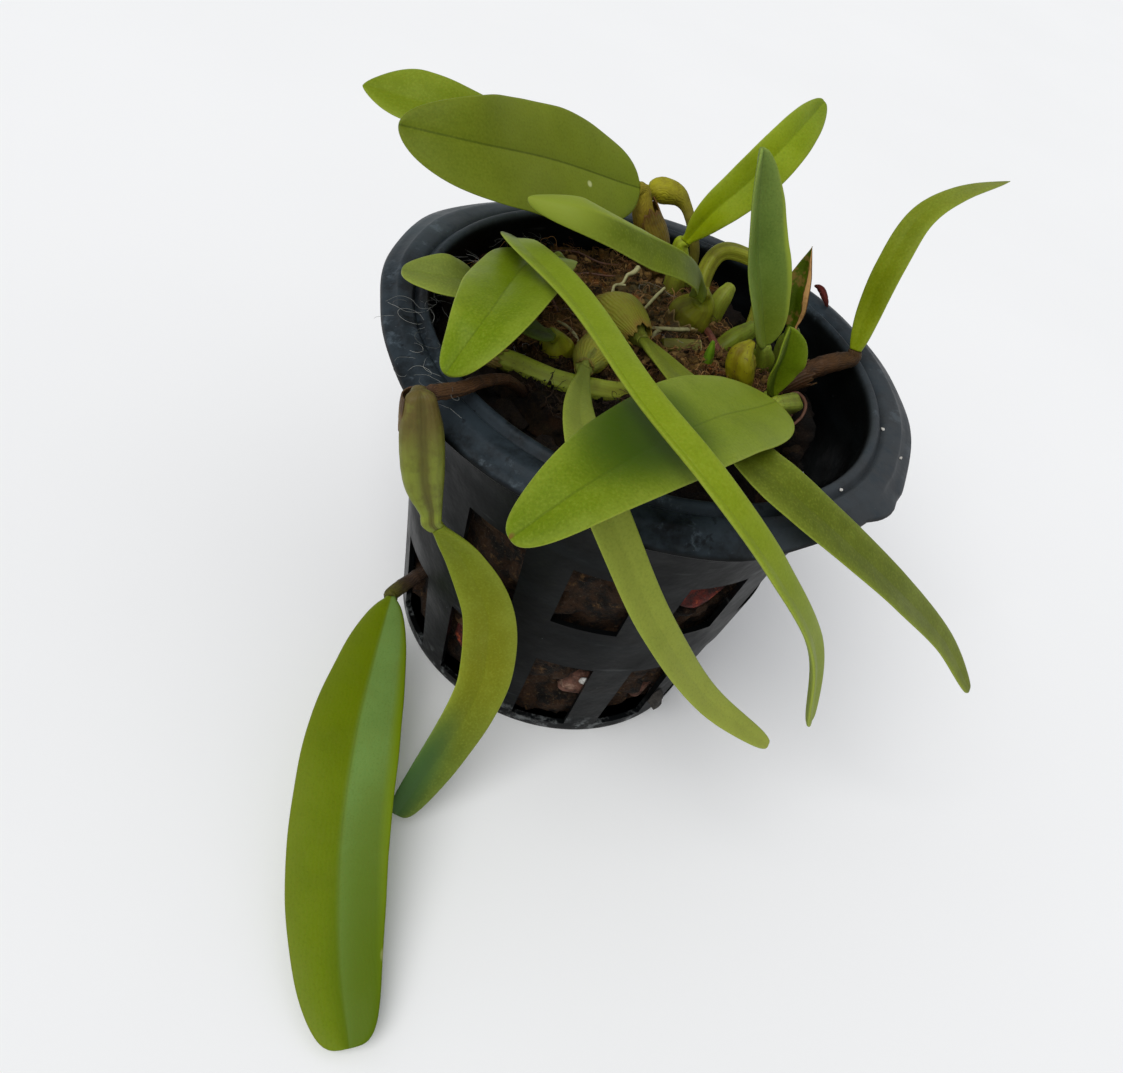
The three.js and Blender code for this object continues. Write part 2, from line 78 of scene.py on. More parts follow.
def alongCurve(points, share):
    # places, directions and total length, with share measured along the curve
    points = np.array(points, float)
    fine = np.linspace(0, 1, 401)
    steps = np.linalg.norm(np.diff(curveAt(points[:, :3], fine), axis=0), axis=1)
    lengths = np.concatenate([[0], np.cumsum(steps)])
    at = np.interp(np.asarray(share) * lengths[-1], lengths, fine)
    middle = curveAt(points, at)
    forward = curveAt(points[:, :3], np.minimum(at + 1e-4, 1)) - curveAt(points[:, :3], np.maximum(at - 1e-4, 0))
    return middle, unit(forward), lengths[-1]


def sideFrames(forward):
    # two directions square to the curve that turn with it as little as they can
    first = np.eye(3)[np.argmin(np.abs(forward[0]))]
    normal = unit(np.cross(forward[0], first))
    normals = [normal]
    for direction in forward[1:]:
        normal = unit(normal - direction * np.dot(normal, direction))
        normals.append(normal)
    normals = np.array(normals)
    return normals, np.cross(forward, normals)


def ringFaces(rows, columns, capped=True):
    # quads between closed rings of points, with a flat cap on the first and on the last
    row, column = np.arange(rows - 1)[:, None] * columns, np.arange(columns)[None, :]
    nextColumn = (column + 1) % columns
    faces = np.stack([row + column, row + nextColumn, row + columns + nextColumn, row + columns + column], -1)
    faces = faces.reshape(-1, 4).tolist()
    if capped:
        faces += [list(range(columns))[::-1], list(range((rows - 1) * columns, rows * columns))]
    return faces


def joinShells(shells):
    points, faces, values, start = [], [], {}, 0
    for shellPoints, shellFaces, shellValues in shells:
        points.append(np.asarray(shellPoints, float))
        faces += [[k + start for k in face] for face in shellFaces] if start else shellFaces
        for key, column in shellValues.items():
            values.setdefault(key, []).append(np.broadcast_to(np.asarray(column, float), len(shellPoints)))
        start += len(shellPoints)
    return np.vstack(points), faces, {key: np.concatenate(columns) for key, columns in values.items()}


def addObject(name, data):
    added = bpy.data.objects.new(name, data)
    bpy.context.scene.collection.objects.link(added)
    return added


def makePiece(name, shell, material, nodes=(), outward=True):
    points, faces, values = joinShells([shell])
    mesh = bpy.data.meshes.new(name)
    mesh.from_pydata((points * mm).tolist(), [], faces)
    for key, column in values.items():
        mesh.attributes.new(key, "FLOAT", "POINT").data.foreach_set("value", np.asarray(column, np.float32))
    if outward:
        work = bmesh.new()
        work.from_mesh(mesh)
        bmesh.ops.recalc_face_normals(work, faces=work.faces)
        work.to_mesh(mesh)
        work.free()
    mesh.shade_smooth()
    mesh.materials.append(material)
    piece = addObject(name, mesh)
    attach(piece, "root")
    if nodes:
        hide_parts(*nodes)
    return piece


def roughen(points, size, amount, seed=0, octaves=3):
    # moves each point by smooth noise, in the three directions
    offset = Vector((seed * 17.3, seed * 5.1, seed * 9.7))
    moved, step, share = np.zeros((len(points), 3)), size, 1.0
    for _ in range(octaves):
        moved += share * np.array([noise.noise_vector(Vector(p) / step + offset) for p in points])
        step, share = step / 2.1, share / 2
    return points + amount * moved


class Skin:
    # A material that is built up in layers. where is the object's own place, colour is what is laid so
    # far, and each of the mesh's columns that it reads is kept under its own name.

    def __init__(self, name, colour, *columns):
        self.material = bpy.data.materials.new(name)
        self.material.use_nodes = True
        self.material.node_tree.nodes.clear()
        self.colour = colour
        self.where = self.add("TexCoord", out="Object")
        for column in columns:
            setattr(self, column, self.add("Attribute", out="Fac", attribute_name=column))

    def add(self, kind, inputs=None, out=0, **settings):
        # adds a node with its settings and links, and gives back one of its outputs
        tree = self.material.node_tree
        node = tree.nodes.new("ShaderNode" + kind)
        for key, value in settings.items():
            setattr(node, key, value)
        for key, value in (inputs or {}).items():
            if isinstance(value, bpy.types.NodeSocket):
                tree.links.new(value, node.inputs[key])
            else:
                node.inputs[key].default_value = hexColour(value) if isinstance(value, str) else value
        return node.outputs[out] if node.outputs else None

    def fade(self, other, value, low, high, amount=1.0):
        # the colour turns into other as value goes from low to high
        share = self.add("MapRange", {"Value": value, "From Min": low, "From Max": high, "To Max": amount},
                         interpolation_type="SMOOTHSTEP")
        self.colour = self.add("Mix", {0: share, 6: self.colour, 7: other}, out=2, data_type="RGBA")

    def patches(self, other, sizeMm, low, high, amount=1.0, detail=4.0, rough=0.55, where=None):
        # patches of other about sizeMm across, where the noise passes from low to high
        lumps = self.add("TexNoise", {"Vector": self.where if where is None else where, "Scale": 1 / (sizeMm * mm),
                                      "Detail": detail, "Roughness": rough})
        self.fade(other, lumps, low, high, amount)

    def patchesWithin(self, value, low, high, *patch):
        # patches that show more as value goes from low to high
        plain = self.colour
        self.patches(*patch)
        patched, self.colour = self.colour, plain
        self.fade(patched, value, low, high)

    def stripes(self, across, gapMm, wanderMm, wanderSize):
        # 0 to 1 and back every gapMm of across, wandering a little
        wander = self.add("TexNoise", {"Vector": self.where, "Scale": 1 / (wanderSize * mm), "Detail": 2.0})
        bent = self.add("Math", {0: wander, 1: wanderMm, 2: across}, operation="MULTIPLY_ADD")
        turned = self.add("Math", {0: bent, 1: 2 * math.pi / gapMm}, operation="MULTIPLY")
        wave = self.add("Math", {0: turned}, operation="SINE")
        return self.add("Math", {0: wave, 1: 0.5, 2: 0.5}, operation="MULTIPLY_ADD")

    def mark(self, other, place, reach):
        # one spot, at place (along, across) and as wide as reach, both as shares of the leaf
        squares = []
        for value, middle, half in zip((self.along, self.across), place, reach):
            away = self.add("Math", {0: value, 1: middle}, operation="SUBTRACT")
            share = self.add("Math", {0: away, 1: half}, operation="DIVIDE")
            squares.append(self.add("Math", {0: share, 1: share}, operation="MULTIPLY"))
        self.fade(other, self.add("Math", {0: squares[0], 1: squares[1]}, operation="ADD"), 1.0, 0.05)

    def film(self, sizeMm, detail, low, high, glossy, dull, rough=0.5):
        # a thin uneven film, and the roughness that it gives, from glossy to dull
        film = self.add("TexNoise", {"Vector": self.where, "Scale": 1 / (sizeMm * mm), "Detail": detail,
                                     "Roughness": rough})
        return film, self.add("MapRange", {"Value": film, "From Min": low, "From Max": high,
                                           "To Min": glossy, "To Max": dull})

    def finish(self, roughness, height, depthMm, **fixed):
        bump = self.add("Bump", {"Strength": 1.0, "Distance": depthMm * mm, "Height": height})
        inputs = {"Base Color": self.colour, "Roughness": roughness, "Normal": bump}
        inputs.update({key.replace("_", " "): value for key, value in fixed.items()})
        self.add("OutputMaterial", {"Surface": self.add("BsdfPrincipled", inputs)})
        return self.material


def waxyLeaf(name, look):
    # Thick orchid leaf with a waxy cuticle, grown: a smooth satin green, paler towards its rim, with a
    # thin dark line along the midrib, faint veins 1.1 mm apart and a fine grain, drawn 0.6 mm coarse.
    look = {**brightGreen, **look}
    dark, edge = look["dark"], look["edge"]
    base, middle, tip = look["greens"].split()
    skin = Skin(name, base, "along", "across", "acrossMm", "upper")
    skin.fade(middle, skin.along, 0.0, 0.5)
    skin.fade(tip, skin.along, 0.5, 1.0)
    # one half across the midrib in a colour of its own: painted shade on the arched leaf, and a painted sky
    # reflection on the outside large leaf
    if "otherHalf" in look:
        skin.fade(look["otherHalf"], skin.across, 0.1, -0.1, look["otherShare"])
    skin.patches(dark, 13, 0.4, 0.75, 0.2)
    skin.patches(edge, 8, 0.4, 0.8, 0.16, 3.0)
    fromMiddle = skin.add("Math", {0: skin.across}, operation="ABSOLUTE")
    skin.fade(edge, fromMiddle, 0.45, 1.0, 0.22)
    skin.fade(edge, fromMiddle, 0.94, 1.0, 0.5)
    vein = skin.stripes(skin.acrossMm, 1.1, 3.0, 9.0)
    skin.fade(dark, vein, 0.3, 1.0, 0.02)
    fromMidrib = skin.add("Math", {0: skin.acrossMm}, operation="ABSOLUTE")
    skin.fade(dark, fromMidrib, 0.42, 0.08, look.get("midrib", 0.16))
    grain = skin.add("TexNoise", {"Vector": skin.where, "Scale": 1 / (0.6 * mm), "Detail": 2.0})
    skin.fade(edge, grain, 0.5, 0.72, 0.16)
    skin.fade(dark, grain, 0.5, 0.3, 0.18)
    skin.fade(look["under"], skin.upper, 1.0, 0.0, 0.45)
    for spot in look.get("marks", []):
        skin.mark(*spot)
    if "dry" in look:
        # a dead margin along one side, tan inside a dark border
        start = look["dry"]
        frayed = skin.add("TexNoise", {"Vector": skin.where, "Scale": 1 / (3 * mm), "Detail": 4.0})
        ragged = skin.add("Math", {0: frayed, 1: 0.3, 2: skin.across}, operation="MULTIPLY_ADD")
        skin.fade("#4a3017", ragged, start, start + 0.04)
        skin.fade("#b98e58", ragged, start + 0.05, start + 0.1)
        skin.patches("#8a6238", 2.5, 0.5, 0.62, 0.5)
        skin.fade("#2a1c12", skin.across, 0.9, 1.0)
    roughness = skin.film(20, 5.0, 0.35, 0.7, 0.46, 0.6)[1]
    soft = skin.add("TexNoise", {"Vector": skin.where, "Scale": 1 / (5 * mm), "Detail": 2.0})
    ribs = skin.add("Math", {0: vein, 1: 0.06, 2: soft}, operation="MULTIPLY_ADD")
    height = skin.add("Math", {0: grain, 1: 0.22, 2: ribs}, operation="MULTIPLY_ADD")
    return skin.finish(roughness, height, 0.12, IOR=1.46, Specular_IOR_Level=0.13,
                       Subsurface_Weight=0.05, Subsurface_Scale=0.001)


def fleshyBulb(name, look):
    # Pseudobulb skin, grown: waxy, green to yellow, with shallow lengthwise wrinkles, browner at its
    # root and where the old sheath has rotted off, and dotted with dead spots under 1 mm.
    root, body, neck = look["greens"].split()
    stain, gloss = look["stain"], look.get("gloss", 0.42)
    skin = Skin(name, root, "along", "around", "furrow")
    skin.fade(body, skin.along, 0.05, 0.5)
    skin.fade(neck, skin.along, 0.6, 0.95)
    skin.patches(stain, 5, 0.48, 0.72, 0.5)
    skin.patches(neck, 2.2, 0.5, 0.75, 0.3)
    skin.fade(stain, skin.furrow, 0.6, 1.0, look.get("furrows", 0.3))
    wrinkle = skin.stripes(skin.around, 0.28, 0.5, 5.0)
    skin.fade(stain, wrinkle, 0.5, 1.0, 0.09)
    skin.patches("#4e3619", 0.9, 0.62, 0.7, look.get("spots", 0.35), 2.0)
    film, roughness = skin.film(4, 4.0, 0.3, 0.7, gloss, gloss + 0.2)
    if "cut" in look:
        # the pale pith of a cut end
        skin.fade(look["cut"], skin.along, 0.985, 0.995)
    height = skin.add("Math", {0: wrinkle, 1: 0.16, 2: film}, operation="MULTIPLY_ADD")
    return skin.finish(roughness, height, 0.2, IOR=1.45, Specular_IOR_Level=0.25,
                       Subsurface_Weight=0.05, Subsurface_Scale=0.001)


def scalyRhizome(name, look):
    # Creeping stem in dead papery scales: matt brown, with dry fibres lengthwise about 0.7 mm apart.
    root, body, neck = look["browns"].split()
    skin = Skin(name, root, "along", "around")
    skin.fade(body, skin.along, 0.0, 0.5)
    skin.fade(neck, skin.along, 0.55, 1.0)
    skin.patches(look["stain"], 3, 0.42, 0.68, look.get("stainShare", 0.75), 5.0, 0.65)
    fibre = skin.stripes(skin.around, 0.3, 1.4, 3.0)
    skin.fade(look["fibre"], fibre, 0.5, 1.0, look.get("fibreShare", 0.3))
    film, roughness = skin.film(2.4, 5.0, 0.3, 0.7, 0.6, 0.86)
    height = skin.add("Math", {0: fibre, 1: 0.4, 2: film}, operation="MULTIPLY_ADD")
    return skin.finish(roughness, height, 0.25, IOR=1.45, Specular_IOR_Level=0.3)


def paperySheath(name, look):
    # Dead leaf sheath, dried on the plant: papery cellulose, straw to olive and a little translucent,
    # with ribs 0.8 mm apart, brown scales and a dark torn edge.
    skin = Skin(name, look["root"], "along", "acrossMm")
    skin.fade(look["body"], skin.along, 0.1, 0.6)
    skin.patches(look["scale"], 4, 0.46, 0.66, look["scaleShare"], 5.0, 0.6)
    rib = skin.stripes(skin.acrossMm, 0.8, 1.0, 6.0)
    skin.fade(look["rib"], rib, 0.45, 1.0, 0.07)
    skin.fade(look["torn"], skin.along, 0.86, 1.0, 0.8)
    film = skin.add("TexNoise", {"Vector": skin.where, "Scale": 1 / (1.5 * mm), "Detail": 4.0})
    height = skin.add("Math", {0: rib, 1: 0.4, 2: film}, operation="MULTIPLY_ADD")
    return skin.finish(0.62, height, 0.25, IOR=1.45, Specular_IOR_Level=0.3,
                       Subsurface_Weight=0.1, Subsurface_Scale=0.001)


def mouldedPolypropylene(name, look):
    # Black polypropylene, injection moulded and weathered outdoors: satin and blue-black, with dust and
    # lime on what faces up, rubbed streaks round the wall, pits about 2 mm across, and painted highlights on the
    # flange.
    lime, gloss = look["lime"], look["gloss"]
    skin = Skin(name, look["black"])
    facing = skin.add("SeparateXYZ", {0: skin.add("NewGeometry", out="Normal")}, out="Z")
    height = skin.add("SeparateXYZ", {0: skin.where}, out="Z")
    skin.patches(look["worn"], 22, 0.38, 0.68, 1.0, 3.0)
    # streaks round the wall, about 7 mm high and 40 mm long
    flat = skin.add("VectorMath", {0: skin.where, 1: (1.0, 1.0, 6.0)}, operation="MULTIPLY")
    skin.patches(look["haze"], 40, 0.5, 0.72, 0.4, 1.5, 0.4, flat)
    skin.patches(lime, 20, 0.68, 0.78, 0.12, 2.0, 0.4, flat)
    plain = skin.colour
    skin.patches(look["dust"], 16, 0.3, 0.62, look["dustShare"], 6.0, 0.7)
    # rubbed patches, light enough to stand in as painted highlight too
    skin.patches(look["rubbedAndHighlight"], 9, 0.56, 0.7, 0.65, 6.0, 0.7)
    skin.patches(look["black"], 3.2, 0.64, 0.7, 0.6, 3.0)
    # lighter grey towards its right, and a painted highlight towards its back left
    for grey, heading in zip(look["greyAndHighlight"], ((1.0, -0.2, 0.0), (-0.7, 0.7, 0.0))):
        towardSide = skin.add("VectorMath", {0: skin.where, 1: heading}, out="Value", operation="DOT_PRODUCT")
        skin.fade(grey, towardSide, 0.035, 0.075, 0.7)
    skin.patches(look["dust"], 5, 0.5, 0.7, 0.5, 5.0, 0.65)
    # the dust, the rubbed patches with their painted highlight and the painted highlight on the back left lie on what
    # faces up on the flange alone
    upward = skin.add("MapRange", {"Value": facing, "From Min": 0.05, "From Max": 0.75},
                      interpolation_type="SMOOTHSTEP")
    flange = skin.add("MapRange", {"Value": height, "From Min": 0.09, "From Max": 0.1})
    flangeTop = skin.add("Math", {0: upward, 1: flange}, operation="MULTIPLY")
    skin.colour = skin.add("Mix", {0: flangeTop, 6: plain, 7: skin.colour}, out=2, data_type="RGBA")
    # specks of lime all over, and lime dried on the lowest 12 mm
    skin.patches(lime, 1.2, 0.76, 0.79, 0.45, 2.0)
    skin.patchesWithin(height, 0.012, 0.0, lime, 5, 0.5, 0.64, 0.7, 5.0, 0.7)
    film, roughness = skin.film(16, 4.0, 0.32, 0.7, gloss, gloss + 0.26, 0.55)
    return skin.finish(roughness, film, 0.7, IOR=1.49, Specular_IOR_Level=0.1)


def compostedBark(name, look):
    # Composted pine bark: matt, nearly black where wet, with tan broken faces and grey dust. Its plates
    # are 2 to 5 mm thick and its crumb about 0.8 mm.
    skin = Skin(name, look["wet"], "tone")
    skin.patches(look["brown"], 5, 0.38, 0.6, 1.0, 6.0, 0.65)
    skin.patches(look["broken"], 3.4, 0.58, 0.72, 0.8, 5.0, 0.65)
    skin.fade(look["broken"], skin.tone, 0.0, 1.0, 0.7)
    skin.patches(look["dust"], 0.8, 0.56, 0.7, 0.5, 4.0, 0.7)
    # painted shade: darker towards its top, from 80 to 94 mm up, in the shade below the rim
    height = skin.add("SeparateXYZ", {0: skin.where}, out="Z")
    skin.fade(look["wet"], height, 0.08, 0.094, 0.75)
    plates = skin.add("TexNoise", {"Vector": skin.where, "Scale": 1 / (2.2 * mm), "Detail": 6.0, "Roughness": 0.7})
    return skin.finish(0.88, plates, 1.6, IOR=1.45, Specular_IOR_Level=0.3)


def mattedCoir(name, look):
    # Coconut coir, matted by roots: matt and crumbly, dark red-brown with tan ends, and a grey-green
    # film of algae over one patch that stays wet.
    dark, tan = look["dark"], look["tan"]
    skin = Skin(name, dark, "tone")
    skin.patches(look["brown"], 4, 0.38, 0.62, 1.0, 6.0, 0.7)
    skin.patches(look["red"], 7, 0.5, 0.68, 0.7, 5.0, 0.65)
    skin.fade(tan, skin.tone, 0.3, 1.0, 0.8)
    skin.fade(dark, skin.tone, 0.3, 0.0, 0.7)
    skin.patches(tan, 0.7, 0.55, 0.7, 0.45, 4.0, 0.75)
    away = skin.add("VectorMath", {0: skin.where, 1: [side * mm for side in look["algaePlace"]]}, out="Value",
                    operation="DISTANCE")
    skin.patchesWithin(away, 0.017, 0.009, look["algae"], 2.4, 0.4, 0.65, 0.7, 6.0, 0.7)
    # darker towards the front, nearly black
    front = skin.add("SeparateXYZ", {0: skin.where}, out="Y")
    skin.fade(look["wet"], front, -0.008, -0.022, 0.9)
    crumb = skin.add("TexNoise", {"Vector": skin.where, "Scale": 1 / (1.3 * mm), "Detail": 6.0, "Roughness": 0.75})
    return skin.finish(0.94, crumb, 1.5, IOR=1.45, Specular_IOR_Level=0.2)


def dryStrand(name, look):
    # Roots, hairs and combed fibres: matt, each one its own tone, mottled about every 1.5 mm.
    skin = Skin(name, look["dark"], "tone")
    skin.fade(look["light"], skin.tone, 0.0, 1.0)
    skin.patches(look["mottle"], 1.5, 0.45, 0.7, 0.5, 3.0)
    if "wet" in look:
        front = skin.add("SeparateXYZ", {0: skin.where}, out="Y")
        skin.fade(look["wet"], front, -0.008, -0.024, 0.9)
    mottle = skin.add("TexNoise", {"Vector": skin.where, "Scale": 1 / (1.0 * mm), "Detail": 3.0})
    return skin.finish(look["roughness"], mottle, 0.08, IOR=1.45)


def firedBrick(name, look):
    # Broken brick, fired clay: matt, with a grain of about 0.9 mm, a brighter fresh edge and dark stains.
    # Dried husk and perlite break with the same matt grain, in their own colours.
    skin = Skin(name, look["stained"])
    skin.patches(look["clay"], 4, 0.36, 0.6, 1.0, 5.0, 0.6)
    skin.patches(look["fresh"], 5, 0.56, 0.68, 0.9, 4.0, 0.6)
    skin.patches(look["fresh"], 0.9, 0.58, 0.72, 0.4, 3.0, 0.7)
    grain = skin.add("TexNoise", {"Vector": skin.where, "Scale": 1 / (1.6 * mm), "Detail": 6.0, "Roughness": 0.7})
    return skin.finish(0.9, grain, 1.0, IOR=1.5)


cameraLook = {"place": (0.0, -236.19375, 255.09028), "focalPx": 1000, "widthPx": 1123,
              "right": (0.92634, 0.26771, 0.26501), "up": (-0.37643, 0.63194, 0.67746),
              "back": (0.01389, -0.72732, 0.68616)}
cameraData = bpy.data.cameras.new("photoCamera")
cameraData.sensor_width = 36
cameraData.lens = cameraLook["focalPx"] / cameraLook["widthPx"] * cameraData.sensor_width
cameraData.clip_start = 0.01
cameraData.clip_end = 20
camera = addObject("photoCamera", cameraData)
turned = Matrix([cameraLook["right"], cameraLook["up"], cameraLook["back"]]).transposed().to_4x4()
camera.matrix_world = Matrix.Translation(Vector(cameraLook["place"]) * mm) @ turned
bpy.context.scene.camera = camera

# overcast daylight: a bright sky, and a very wide soft sun from above the camera's left
lightLook = {"sky": "#f6f8fd", "skyStrength": 0.54,
             "sunFrom": (-0.3, -0.65, 0.95), "sunStrength": 1.85, "sunAngle": 48}
world = bpy.data.worlds.new("overcastRoom")
world.use_nodes = True
sky = world.node_tree.nodes["Background"].inputs
sky["Color"].default_value = hexColour(lightLook["sky"])
sky["Strength"].default_value = lightLook["skyStrength"]
bpy.context.scene.world = world
sun = bpy.data.lights.new("softSun", "SUN")
sun.energy = lightLook["sunStrength"]
sun.angle = math.radians(lightLook["sunAngle"])
addObject("softSun", sun).rotation_euler = Vector(lightLook["sunFrom"]).to_track_quat("Z", "Y").to_euler()
bpy.context.scene.view_settings.view_transform = "Standard"

floorLook = {"halfWidth": 4, "card": "#f5f5f4", "shade": "#f7f7f6"}
low, high = -floorLook["halfWidth"], floorLook["halfWidth"]
floorMesh = bpy.data.meshes.new("floor")
floorMesh.from_pydata([(low, low, 0), (high, low, 0), (high, high, 0), (low, high, 0)], [], [(0, 1, 2, 3)])
addObject("floor", floorMesh)
# matt card, near white with no shine
paper = Skin("paleMattCard", floorLook["card"])
paper.patches(floorLook["shade"], 300, 0.3, 0.7)
paper.add("OutputMaterial", {"Surface": paper.add("BsdfDiffuse", {"Color": paper.colour})})
floorMesh.materials.append(paper.material)
print("camera, light and floor are set")

leafForm = {"stations": 84, "middle": 1.5, "edge": 0.8, "stalk": 2.6, "stalkShare": 0.12, "least": 0.12,
            "groove": 0.16, "keel": 0.3, "crown": 0.35, "wave": 0.022}
halfRow = [0, 0.03, 0.07, 0.13, 0.21, 0.31, 0.42, 0.54, 0.66, 0.78, 0.88, 0.95, 0.985, 1]
crossRow = np.array([-s for s in halfRow[:0:-1]] + halfRow)

